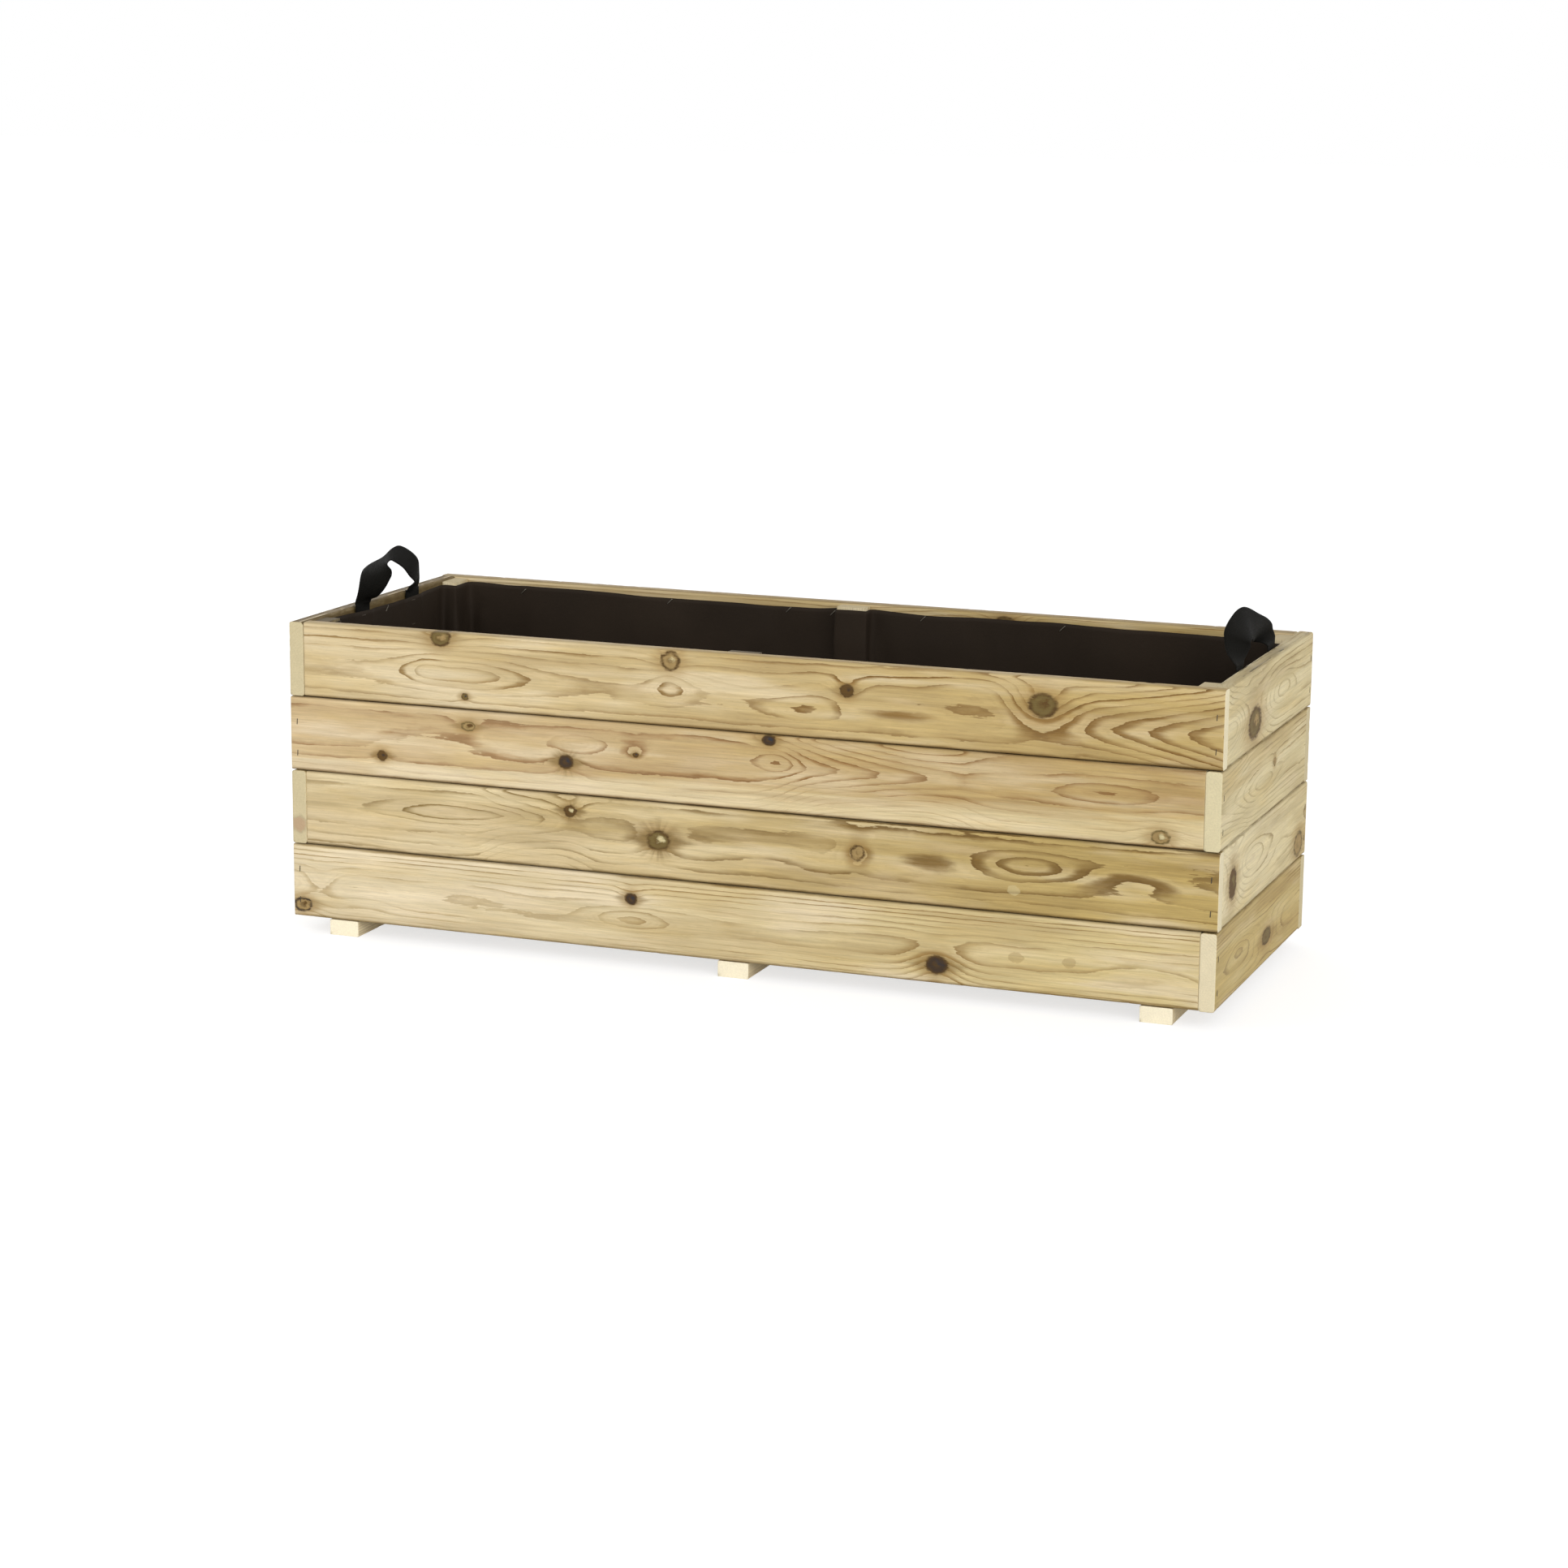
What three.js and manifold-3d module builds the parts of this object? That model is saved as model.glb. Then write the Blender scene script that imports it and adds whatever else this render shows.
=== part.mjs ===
// Raised wooden planter box with a fabric liner, three ground runners and two webbing handles.
// Millimetres. +X runs along the length, +Y towards the back and +Z up.
// The origin is on the ground, under the centre of the box.

import * as THREE from "three";
import { mergeVertices } from "three/addons/utils/BufferGeometryUtils.js";
import Module from "manifold-3d";

// Wall boards: four courses of planed board, lapped at the corners like a pinwheel.
const LENGTH = 1200;
const DEPTH = 450;
const COURSES = 4;
const BOARD_HEIGHT = 95;
const BOARD_THICKNESS = 20;
const BOARD_EASING = 3;

// Battens: the runners under the box and the posts inside it.
const RUNNER_WIDTH = 40;
const RUNNER_HEIGHT = 20;
const RUNNER_RECESS = 2;
const RUNNER_INSET = 70;
const POST_WIDTH = 40;
const POST_THICKNESS = 20;
const POST_DROP = 3;
const BATTEN_EASING = 1.5;

// Floor boards: laid lengthwise on the runners, as many as fit with drainage gaps between them.
const LEAST_DRAIN_GAP = 4;
const FLOOR_BOARD_WIDTH = 95;
const FLOOR_BOARD_THICKNESS = 20;
const FLOOR_END_CLEARANCE = 1.5;

// Liner: a thin fabric tray that follows the walls and the posts.
const LINER_THICKNESS = 1;
const LINER_DROP = 8;
const SEAT_CLEARANCE = 0.3;

// Handles: a webbing loop on each end wall, with its two ends stapled inside.
const STRAP_WIDTH = 38;
const STRAP_THICKNESS = 1.8;
const STRAP_TAIL_LENGTH = 70;
const FOLD_CLEARANCE = 0.3;
const STEPS_PER_ROW = 5;

// Staples: U-shaped wire with its legs in the wood.
const STAPLE_CROWN = 10;
const STAPLE_WIRE = 1.2;
const STAPLE_LEG = 12;
const STAPLE_CLEARANCE = 0.3;
const STAPLE_SLANT = 45;
const LINER_STAPLE_DROP = 15;
const STRAP_STAPLE_DROPS = [14, 46];

// Places of the liner's staples along each wall, measured from the wall's two ends and its middle.
const BACK_STAPLES = { low: [123, 337], middle: [-94, -32, 92], high: [320] };
const FRONT_STAPLES = { low: [110, 300], middle: [-110, 105], high: [305, 115] };
const END_STAPLES = { low: [], middle: [0], high: [] };

// Handle shapes. Each row is a station along the loop, from the front leg to the back leg: the
// middle of the webbing, measured inwards from the fold line, along Y, and up from the fold line,
// and then the direction across the webbing, from its outer edge to its inner edge, in the same
// three directions. The left loop stands up; the right one leans in over the planting space.
const LEFT_LOOP = [
  [0, -70, 0, 0, 1, 0],
  [0.3, -69.5, 3, 0.05, 1, 0],
  [5, -64, 8, 12, 36, -4],
  [10, -61, 27, 24, 30, 2],
  [10, -56, 41, 29, 23, 4],
  [9, -45, 50, 31, 13, 7],
  [6, -24, 52, 26, -4, 3],
  [2, -3, 55, 16, -29, -6],
  [1, 18, 56, 8, -34, -15],
  [4, 36, 51, 5, -35, -16],
  [8, 46, 41, 3, -35, -16],
  [9, 55, 31, 3, -34, -11],
  [9, 60, 20, 7, -34, -6],
  [5, 67, 9, 5, -33, -2],
  [0.3, 70.5, 3, 0.05, -1, 0],
  [0, 71, 0, 0, -1, 0],
];
const RIGHT_LOOP = [
  [0, -68, 0, 0, 1, 0],
  [0.2, -67.6, 3, -0.05, 1, 0],
  [3, -64, 7, -9, 36, -2],
  [6, -58, 15, -19, 33, -4],
  [8, -50, 24, -26, 27, -9],
  [9, -47, 32, -27, 22, -16],
  [8, -32, 39, -22, 12, -24],
  [7, -6, 43, -13, -8, -32],
  [5, 28, 31, 1, -20, -31],
  [6, 57, 25, 10, -30, -24],
  [8, 79, 18, 16, -34, -20],
  [10, 87, 11, 18, -34, -14],
  [6, 91, 6, 11, -34, -3],
  [0.3, 90.2, 2.5, 0.05, -1, 0],
  [0, 90, 0, 0, -1, 0],
];

// Places worked out from the sizes above.
const HALF_LENGTH = LENGTH / 2;
const HALF_DEPTH = DEPTH / 2;
const INNER_X = HALF_LENGTH - BOARD_THICKNESS;
const INNER_Y = HALF_DEPTH - BOARD_THICKNESS;
const RIM = RUNNER_HEIGHT + COURSES * BOARD_HEIGHT;
const FLOOR_TOP = RUNNER_HEIGHT + FLOOR_BOARD_THICKNESS;
const FLOOR_ROOM = 2 * INNER_Y - LEAST_DRAIN_GAP;
const FLOOR_BOARDS = Math.floor(FLOOR_ROOM / (FLOOR_BOARD_WIDTH + LEAST_DRAIN_GAP));
const FLOOR_GAP = (2 * INNER_Y - FLOOR_BOARDS * FLOOR_BOARD_WIDTH) / (FLOOR_BOARDS + 1);
const LINER_FACE = SEAT_CLEARANCE + LINER_THICKNESS;
const STRAP_FACE = LINER_FACE + SEAT_CLEARANCE + STRAP_THICKNESS;
const FOLD_INSET = LINER_FACE + SEAT_CLEARANCE + STRAP_THICKNESS / 2;
const FOLD_HEIGHT = RIM + FOLD_CLEARANCE + STRAP_THICKNESS / 2;

const X = new THREE.Vector3(1, 0, 0);
const Y = new THREE.Vector3(0, 1, 0);
const Z = new THREE.Vector3(0, 0, 1);

// Materials. Each length of timber has its own tone.
const matt = (color, roughness, metalness = 0) =>
  new THREE.MeshStandardMaterial({ color, roughness, metalness });
const pine = (tone) => matt(tone, 0.72);
const BOARD_TONES = ["#c9b07a", "#c2a274", "#c6ad78", "#c8b080"];
const BATTEN_TONE = "#d3bd8c";
const LINER_TONE = "#211a14";
const STRAP_TONE = "#1c1c1a";
const WIRE_TONE = "#b9bab6";

const wasm = await Module();
wasm.setup();

const planter = new THREE.Group();

function add(name, geometry, material, position = [0, 0, 0]) {
  const mesh = new THREE.Mesh(geometry, material);
  mesh.name = name;
  mesh.position.set(...position);
  planter.add(mesh);
  return mesh;
}

// A closed mesh as a solid for cutting and joining, and back again.
function toSolid(geometry) {
  const bare = geometry.clone();
  bare.deleteAttribute("normal");
  bare.deleteAttribute("uv");
  const merged = mergeVertices(bare, 1e-4);
  return new wasm.Manifold(
    new wasm.Mesh({
      numProp: 3,
      vertProperties: merged.attributes.position.array,
      triVerts: new Uint32Array(merged.index.array),
    }),
  );
}

function toGeometry(solid) {
  const mesh = solid.getMesh();
  const geometry = new THREE.BufferGeometry();
  geometry.setAttribute("position", new THREE.BufferAttribute(mesh.vertProperties, 3));
  geometry.setIndex(new THREE.BufferAttribute(mesh.triVerts, 1));
  const faceted = geometry.toNonIndexed();
  faceted.computeVertexNormals();
  return faceted;
}

// Cuts a placed mesh by cutters that are given in the box's own frame.
function cut(mesh, cutters) {
  mesh.updateMatrixWorld(true);
  const inverse = mesh.matrixWorld.clone().invert();
  let solid = toSolid(mesh.geometry);
  for (const cutter of cutters) solid = solid.subtract(toSolid(cutter.clone().applyMatrix4(inverse)));
  mesh.geometry = toGeometry(solid);
}

// Timber of a rectangular section with eased long edges. across and up are the directions of the
// section's two sides, and the length runs along the third axis.
function timber(length, width, height, easing, across, up) {
  const x = width / 2;
  const y = height / 2;
  const section = new THREE.Shape();
  section.absarc(x - easing, y - easing, easing, 0, Math.PI / 2);
  section.absarc(easing - x, y - easing, easing, Math.PI / 2, Math.PI);
  section.absarc(easing - x, easing - y, easing, Math.PI, 1.5 * Math.PI);
  section.absarc(x - easing, easing - y, easing, 1.5 * Math.PI, 2 * Math.PI);
  const geometry = new THREE.ExtrudeGeometry(section, {
    depth: length,
    bevelEnabled: false,
    curveSegments: 3,
  });
  geometry.translate(0, 0, -length / 2);
  const along = new THREE.Vector3().crossVectors(across, up);
  return geometry.applyMatrix4(new THREE.Matrix4().makeBasis(across, up, along));
}

// Wall boards. From one course to the next the laps change over: on odd courses the front board
// runs through to the right end, on even courses to the left end, and so on round the box.
function addWalls() {
  for (let course = 1; course <= COURSES; course++) {
    const z = RIM - (course - 0.5) * BOARD_HEIGHT;
    const shift = (course % 2 ? 1 : -1) * (BOARD_THICKNESS / 2);
    const tone = () => pine(BOARD_TONES[(course - 1) % BOARD_TONES.length]);
    const wallY = HALF_DEPTH - BOARD_THICKNESS / 2;
    const wallX = HALF_LENGTH - BOARD_THICKNESS / 2;
    const long = () =>
      timber(LENGTH - BOARD_THICKNESS, BOARD_THICKNESS, BOARD_HEIGHT, BOARD_EASING, Y, Z);
    const short = () =>
      timber(DEPTH - BOARD_THICKNESS, BOARD_THICKNESS, BOARD_HEIGHT, BOARD_EASING, X, Z);
    add(`front_board_${course}`, long(), tone(), [shift, -wallY, z]);
    add(`back_board_${course}`, long(), tone(), [-shift, wallY, z]);
    add(`left_board_${course}`, short(), tone(), [-wallX, -shift, z]);
    add(`right_board_${course}`, short(), tone(), [wallX, shift, z]);
  }
}

function addPosts() {
  const top = RIM - POST_DROP;
  const height = top - FLOOR_TOP;
  const z = (top + FLOOR_TOP) / 2;
  for (const [end, sx] of [["left", -1], ["right", 1]]) {
    for (const [side, sy] of [["front", -1], ["back", 1]]) {
      add(
        `corner_post_${side}_${end}`,
        timber(height, POST_THICKNESS, POST_WIDTH, BATTEN_EASING, X, Y),
        pine(BATTEN_TONE),
        [sx * (INNER_X - POST_THICKNESS / 2), sy * (INNER_Y - POST_WIDTH / 2), z],
      );
    }
  }
  for (const [side, sy] of [["front", -1], ["back", 1]]) {
    add(
      `middle_post_${side}`,
      timber(height, POST_WIDTH, POST_THICKNESS, BATTEN_EASING, X, Y),
      pine(BATTEN_TONE),
      [0, sy * (INNER_Y - POST_THICKNESS / 2), z],
    );
  }
}

function addBase() {
  const runnerX = HALF_LENGTH - RUNNER_INSET;
  for (const [name, x] of [["left", -runnerX], ["middle", 0], ["right", runnerX]]) {
    add(
      `runner_${name}`,
      timber(DEPTH - 2 * RUNNER_RECESS, RUNNER_WIDTH, RUNNER_HEIGHT, BATTEN_EASING, X, Z),
      pine(BATTEN_TONE),
      [x, 0, RUNNER_HEIGHT / 2],
    );
  }
  const pitch = FLOOR_BOARD_WIDTH + FLOOR_GAP;
  for (let i = 0; i < FLOOR_BOARDS; i++) {
    const y = (i - (FLOOR_BOARDS - 1) / 2) * pitch;
    add(
      `floor_board_${i + 1}`,
      timber(
        2 * (INNER_X - FLOOR_END_CLEARANCE),
        FLOOR_BOARD_WIDTH,
        FLOOR_BOARD_THICKNESS,
        BOARD_EASING,
        Y,
        Z,
      ),
      pine(BOARD_TONES[i % BOARD_TONES.length]),
      [0, y, RUNNER_HEIGHT + FLOOR_BOARD_THICKNESS / 2],
    );
  }
}

// Outline of the planting space, drawn in from the walls and posts by a clearance: four corner
// bays and, in the middle of each long side, a step round the middle post.
function spaceOutline(clearance) {
  const x = INNER_X - clearance;
  const y = INNER_Y - clearance;
  const cornerX = x - POST_THICKNESS;
  const cornerY = y - POST_WIDTH;
  const middleX = POST_WIDTH / 2 + clearance;
  const middleY = y - POST_THICKNESS;
  const quarter = [
    [x, cornerY],
    [cornerX, cornerY],
    [cornerX, y],
    [middleX, y],
    [middleX, middleY],
  ];
  const turned = (sx, sy) => quarter.map(([a, b]) => new THREE.Vector2(sx * a, sy * b));
  return new THREE.Shape([
    ...turned(1, 1),
    ...turned(-1, 1).reverse(),
    ...turned(-1, -1),
    ...turned(1, -1).reverse(),
  ]);
}

function prism(shape, low, high) {
  const geometry = new THREE.ExtrudeGeometry(shape, { depth: high - low, bevelEnabled: false });
  return geometry.translate(0, 0, low);
}

function addLiner() {
  const bottom = FLOOR_TOP + SEAT_CLEARANCE;
  const top = RIM - LINER_DROP;
  const body = toSolid(prism(spaceOutline(SEAT_CLEARANCE), bottom, top));
  const hollow = toSolid(prism(spaceOutline(LINER_FACE), bottom + LINER_THICKNESS, RIM));
  return add("liner", toGeometry(body.subtract(hollow)), matt(LINER_TONE, 0.85));
}

// Webbing along a smooth curve through the rows of a loop, as one closed solid.
function webbing(rows, place, across) {
  const middles = rows.map((row) => place(row[0], row[1], row[2]));
  const widths = rows.map((row) => across(row[3], row[4], row[5]).normalize());
  const path = new THREE.CatmullRomCurve3(middles, false, "catmullrom", 0.5);
  const sweep = new THREE.CatmullRomCurve3(widths, false, "catmullrom", 0.5);
  const stations = (rows.length - 1) * STEPS_PER_ROW;
  const points = [];
  for (let i = 0; i <= stations; i++) {
    const t = i / stations;
    const middle = path.getPoint(t);
    const half = sweep.getPoint(t).setLength(STRAP_WIDTH / 2);
    const ahead = path.getPoint(Math.min(1, t + 0.25 / stations));
    const tangent = ahead.sub(path.getPoint(Math.max(0, t - 0.25 / stations)));
    const skin = tangent.cross(half).setLength(STRAP_THICKNESS / 2);
    points.push(
      middle.clone().sub(half).sub(skin),
      middle.clone().add(half).sub(skin),
      middle.clone().add(half).add(skin),
      middle.clone().sub(half).add(skin),
    );
  }
  const faces = [0, 2, 1, 0, 3, 2];
  for (let i = 0; i < stations; i++) {
    for (let k = 0; k < 4; k++) {
      const a = 4 * i + k;
      const b = 4 * i + ((k + 1) % 4);
      faces.push(a, b, b + 4, a, b + 4, a + 4);
    }
  }
  const last = 4 * stations;
  faces.push(last, last + 1, last + 2, last, last + 2, last + 3);
  const geometry = new THREE.BufferGeometry().setFromPoints(points);
  geometry.setIndex(faces);
  return geometry;
}

// A handle: the loop, which swings on its fold line, its two tails below the rim, and the
// staples' places on them. side is -1 for the left end wall and 1 for the right one.
function addHandle(name, side, rows) {
  const foldX = side * (INNER_X - FOLD_INSET);
  const place = (inwards, y, up) => new THREE.Vector3(foldX - side * inwards, y, FOLD_HEIGHT + up);
  const across = (inwards, y, up) => new THREE.Vector3(-side * inwards, y, up);
  const legs = [rows[0][1], rows[rows.length - 1][1]];
  let loop = toSolid(webbing(rows, place, across));
  for (const y of legs) {
    const roll = new THREE.CylinderGeometry(
      STRAP_THICKNESS / 2,
      STRAP_THICKNESS / 2,
      STRAP_WIDTH,
      12,
    );
    loop = loop.add(toSolid(roll.translate(foldX, y, FOLD_HEIGHT)));
  }
  add(`${name}_handle_loop`, toGeometry(loop), matt(STRAP_TONE, 0.8));
  const top = FOLD_HEIGHT - STRAP_THICKNESS / 2 - FOLD_CLEARANCE;
  return legs.map((y, i) => {
    const leg = ["front", "back"][i];
    const tail = add(
      `${name}_handle_tail_${leg}`,
      new THREE.BoxGeometry(STRAP_THICKNESS, STRAP_WIDTH, STRAP_TAIL_LENGTH),
      matt(STRAP_TONE, 0.8),
      [foldX, y, top - STRAP_TAIL_LENGTH / 2],
    );
    return { tail, leg, y, top };
  });
}

// A staple, with its crown along the local X axis and its legs down the local -Y axis.
function stapleGeometry() {
  const half = STAPLE_CROWN / 2;
  const wire = new THREE.Shape([
    new THREE.Vector2(-half, -STAPLE_LEG),
    new THREE.Vector2(STAPLE_WIRE - half, -STAPLE_LEG),
    new THREE.Vector2(STAPLE_WIRE - half, 0),
    new THREE.Vector2(half - STAPLE_WIRE, 0),
    new THREE.Vector2(half - STAPLE_WIRE, -STAPLE_LEG),
    new THREE.Vector2(half, -STAPLE_LEG),
    new THREE.Vector2(half, STAPLE_WIRE),
    new THREE.Vector2(-half, STAPLE_WIRE),
  ]);
  const geometry = new THREE.ExtrudeGeometry(wire, { depth: STAPLE_WIRE, bevelEnabled: false });
  return geometry.translate(0, 0, -STAPLE_WIRE / 2);
}

// The frame of a staple at a point of a surface: out is the surface's normal, and slant turns
// the crown up from the horizontal, in degrees.
function stapleFrame(point, out, slant) {
  const level = new THREE.Vector3().crossVectors(Z, out);
  const angle = THREE.MathUtils.degToRad(slant);
  const crown = level.multiplyScalar(Math.cos(angle)).addScaledVector(Z, Math.sin(angle));
  const side = new THREE.Vector3().crossVectors(crown, out);
  const seat = point.clone().addScaledVector(out, STAPLE_CLEARANCE);
  return new THREE.Matrix4().makeBasis(crown, out, side).setPosition(seat);
}

function addStaple(name, frame) {
  add(name, stapleGeometry().applyMatrix4(frame), matt(WIRE_TONE, 0.35, 0.9));
}

// The two leg holes of a staple, as cutters.
function legHoles(frame) {
  const hole = STAPLE_WIRE + 2 * STAPLE_CLEARANCE;
  const depth = STAPLE_LEG + 2 * STAPLE_CLEARANCE;
  return [-1, 1].map((s) =>
    new THREE.BoxGeometry(hole, depth, hole)
      .translate((s * (STAPLE_CROWN - STAPLE_WIRE)) / 2, STAPLE_CLEARANCE - depth / 2, 0)
      .applyMatrix4(frame),
  );
}

function node(name) {
  return planter.getObjectByName(name);
}

// Staples along the liner's top edge, on all four walls. Each wall is given with the direction
// into the box, the distance of its inner face from the middle, half its length, and the places.
function addLinerStaples(liner) {
  const walls = [
    ["back", Y.clone().negate(), INNER_Y, HALF_LENGTH, BACK_STAPLES],
    ["front", Y, INNER_Y, HALF_LENGTH, FRONT_STAPLES],
    ["left", X, INNER_X, HALF_DEPTH, END_STAPLES],
    ["right", X.clone().negate(), INNER_X, HALF_DEPTH, END_STAPLES],
  ];
  for (const [wall, out, distance, half, { low, middle, high }] of walls) {
    const along = out.x ? Y : X;
    const places = [...low.map((d) => d - half), ...middle, ...high.map((d) => half - d)];
    const holes = [];
    places.forEach((place, i) => {
      const point = out.clone().multiplyScalar(LINER_FACE - distance);
      point.addScaledVector(along, place).setZ(RIM - LINER_STAPLE_DROP);
      const frame = stapleFrame(point, out, STAPLE_SLANT);
      addStaple(`liner_staple_${wall}_${i + 1}`, frame);
      holes.push(...legHoles(frame));
    });
    cut(node(`${wall}_board_1`), holes);
    cut(liner, holes);
  }
}

// Two level staples through each strap tail, the liner and the wall board behind them.
function addStrapStaples(name, side, tails, liner) {
  for (const { tail, leg, y, top } of tails) {
    const holes = [];
    STRAP_STAPLE_DROPS.forEach((drop, i) => {
      const point = new THREE.Vector3(side * (INNER_X - STRAP_FACE), y, top - drop);
      const frame = stapleFrame(point, new THREE.Vector3(-side, 0, 0), 0);
      addStaple(`strap_staple_${name}_${leg}_${i + 1}`, frame);
      holes.push(...legHoles(frame));
    });
    cut(tail, holes);
    cut(liner, holes);
    cut(node(`${name}_board_1`), holes);
  }
}

addWalls();
addPosts();
addBase();
const liner = addLiner();
const leftTails = addHandle("left", -1, LEFT_LOOP);
const rightTails = addHandle("right", 1, RIGHT_LOOP);
addLinerStaples(liner);
addStrapStaples("left", -1, leftTails, liner);
addStrapStaples("right", 1, rightTails, liner);

export default planter;
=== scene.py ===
"""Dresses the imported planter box: pine boards, cloth liner, webbing handles, wire staples, pale studio."""

import math

import bmesh
import bpy
import numpy as np
from bpy.props import FloatProperty, FloatVectorProperty, IntProperty, PointerProperty
from mathutils import Matrix, Vector


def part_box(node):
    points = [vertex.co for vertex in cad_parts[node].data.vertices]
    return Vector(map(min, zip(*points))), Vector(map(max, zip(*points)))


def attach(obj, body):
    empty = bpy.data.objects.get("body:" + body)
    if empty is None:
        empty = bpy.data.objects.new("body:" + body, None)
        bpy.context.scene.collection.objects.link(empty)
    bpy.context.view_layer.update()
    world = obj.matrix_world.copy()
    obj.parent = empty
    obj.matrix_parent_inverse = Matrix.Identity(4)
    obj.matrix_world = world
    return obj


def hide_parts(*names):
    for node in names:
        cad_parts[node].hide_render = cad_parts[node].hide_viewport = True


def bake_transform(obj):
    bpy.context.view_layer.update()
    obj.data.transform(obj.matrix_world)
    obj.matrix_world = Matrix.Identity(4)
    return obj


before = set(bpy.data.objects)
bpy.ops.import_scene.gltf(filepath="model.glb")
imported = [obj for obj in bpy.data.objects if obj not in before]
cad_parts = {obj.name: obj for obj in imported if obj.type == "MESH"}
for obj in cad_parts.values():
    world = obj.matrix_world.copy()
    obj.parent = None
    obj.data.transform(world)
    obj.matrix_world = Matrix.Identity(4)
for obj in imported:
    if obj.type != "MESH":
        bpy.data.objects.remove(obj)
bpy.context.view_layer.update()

bl_info = {
    "name": "Planter Box",
    "version": (1, 0, 0),
    "blender": (4, 5, 0),
    "location": "3D View > Sidebar > Planter",
    "description": "Builds the looks of a long wooden planter box around its packed frame",
    "category": "Object",
}

# One millimetre in metres, and the driving sizes in millimetres
MM = 0.001
LENGTH, DEPTH, HEIGHT = 1200, 450, 400
COURSES = 4
BOARD_HIGH, BOARD_THICK = 95, 20
BATTEN_WIDE, BATTEN_DEEP, BATTEN_REACH = 40, 20, 190

# The inside faces of the walls and the top of the floor boards
WALL_X, WALL_Y = LENGTH // 2 - BOARD_THICK, DEPTH // 2 - BOARD_THICK
FLOOR_TOP = BATTEN_DEEP + BOARD_THICK

# Colours


def paint(red, green, blue):
    """A screen colour, 0 to 255 each, as the linear colour that a shader wants."""
    share = [c / 255 for c in (red, green, blue)]
    return tuple(c / 12.92 if c <= 0.04045 else ((c + 0.055) / 1.055) ** 2.4 for c in share)


def opaque(colour):
    """A colour with its alpha."""
    return (*colour, 1.0)


def times(colour, factor):
    """A plain colour made lighter or darker."""
    return tuple(c * factor for c in colour)


# Nodes and the values between them


class Value:
    """A socket of a node tree. Arithmetic on it adds Math nodes."""

    def __init__(self, nodes, socket):
        self.nodes, self.socket = nodes, socket

    def math(self, operation, *rest):
        return self.nodes.take("ShaderNodeMath", {"operation": operation}, [self, *rest])

    def __add__(self, other):
        return self.math("ADD", other)

    def __sub__(self, other):
        return self.math("SUBTRACT", other)

    def __mul__(self, other):
        return self.math("MULTIPLY", other)

    def __truediv__(self, other):
        return self.math("DIVIDE", other)

    def __abs__(self):
        return self.math("ABSOLUTE")

    def __rsub__(self, other):
        return self.nodes.take("ShaderNodeMath", {"operation": "SUBTRACT"}, [other, self])

    def __rtruediv__(self, other):
        return self.nodes.take("ShaderNodeMath", {"operation": "DIVIDE"}, [other, self])

    __radd__, __rmul__ = __add__, __mul__

    def least(self, other):
        return self.math("MINIMUM", other)

    def most(self, other):
        return self.math("MAXIMUM", other)

    def sine(self):
        return self.math("SINE")

    def clamped(self):
        return self.most(0.0).least(1.0)

    def rise(self, low, high):
        """0 below low, 1 above high, and an eased step between them."""
        span = {"Value": self, "From Min": low, "From Max": high}
        return self.nodes.take("ShaderNodeMapRange", {"interpolation_type": "SMOOTHSTEP"}, span)

    def bell(self, centre, width):
        """1 at centre, falling to 0 at width on either side."""
        return 1.0 - abs(self - centre).rise(0.0, width)


class Nodes:
    """Adds nodes to one tree."""

    def __init__(self, tree):
        self.tree = tree

    def add(self, kind, settings=None, inputs=None):
        """One node: its settings are set first, then each input takes a value or a link."""
        node = self.tree.nodes.new(kind)
        for name, setting in (settings or {}).items():
            setattr(node, name, setting)
        pairs = enumerate(inputs) if isinstance(inputs, list) else (inputs or {}).items()
        for key, value in pairs:
            if isinstance(value, Value):
                self.tree.links.new(value.socket, node.inputs[key])
            else:
                node.inputs[key].default_value = value
        return node

    def take(self, kind, settings=None, inputs=None, output=0):
        """The chosen output of a new node."""
        return Value(self, self.add(kind, settings, inputs).outputs[output])

    def vector(self, operation, *inputs, output=0):
        return self.take("ShaderNodeVectorMath", {"operation": operation}, list(inputs), output)

    def length(self, vector):
        return self.vector("LENGTH", vector, output="Value")

    def dot(self, first, second):
        return self.vector("DOT_PRODUCT", first, second, output="Value")

    def joined(self, *parts):
        """A vector from its x, y and z."""
        return self.take("ShaderNodeCombineXYZ", {}, list(parts))

    def parts(self, vector):
        """The x, y and z of a vector."""
        split = self.add("ShaderNodeSeparateXYZ", {}, [vector])
        return [Value(self, socket) for socket in split.outputs]

    def noise(self, point, detail=2.0, roughness=0.5, output=0):
        """A smooth noise whose patches are about one unit of point across."""
        inputs = {"Vector": point, "Scale": 1.0, "Detail": detail, "Roughness": roughness}
        return self.take("ShaderNodeTexNoise", {"noise_dimensions": "3D"}, inputs, output)

    def speckle(self, point, scale, detail, roughness=0.5):
        """The noise of a point that is multiplied first, by one number or by three."""
        scale = scale if isinstance(scale, tuple) else (scale,) * 3
        return self.noise(self.vector("MULTIPLY", point, scale), detail, roughness)

    def mix(self, share, first, second):
        """A colour between two colours."""
        first, second = (c if isinstance(c, Value) else opaque(c) for c in (first, second))
        settings = {"data_type": "RGBA", "blend_type": "MIX", "clamp_factor": True}
        return self.take("ShaderNodeMix", settings, {0: share, 6: first, 7: second}, 2)

    def shade(self, colour, factor):
        """A colour times a number."""
        return self.vector("MULTIPLY", colour, self.joined(factor, factor, factor))


def new_finish(name):
    """An empty material and its nodes."""
    finish = bpy.data.materials.new(name)
    finish.use_nodes = True
    finish.node_tree.nodes.clear()
    return finish, Nodes(finish.node_tree)


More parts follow.
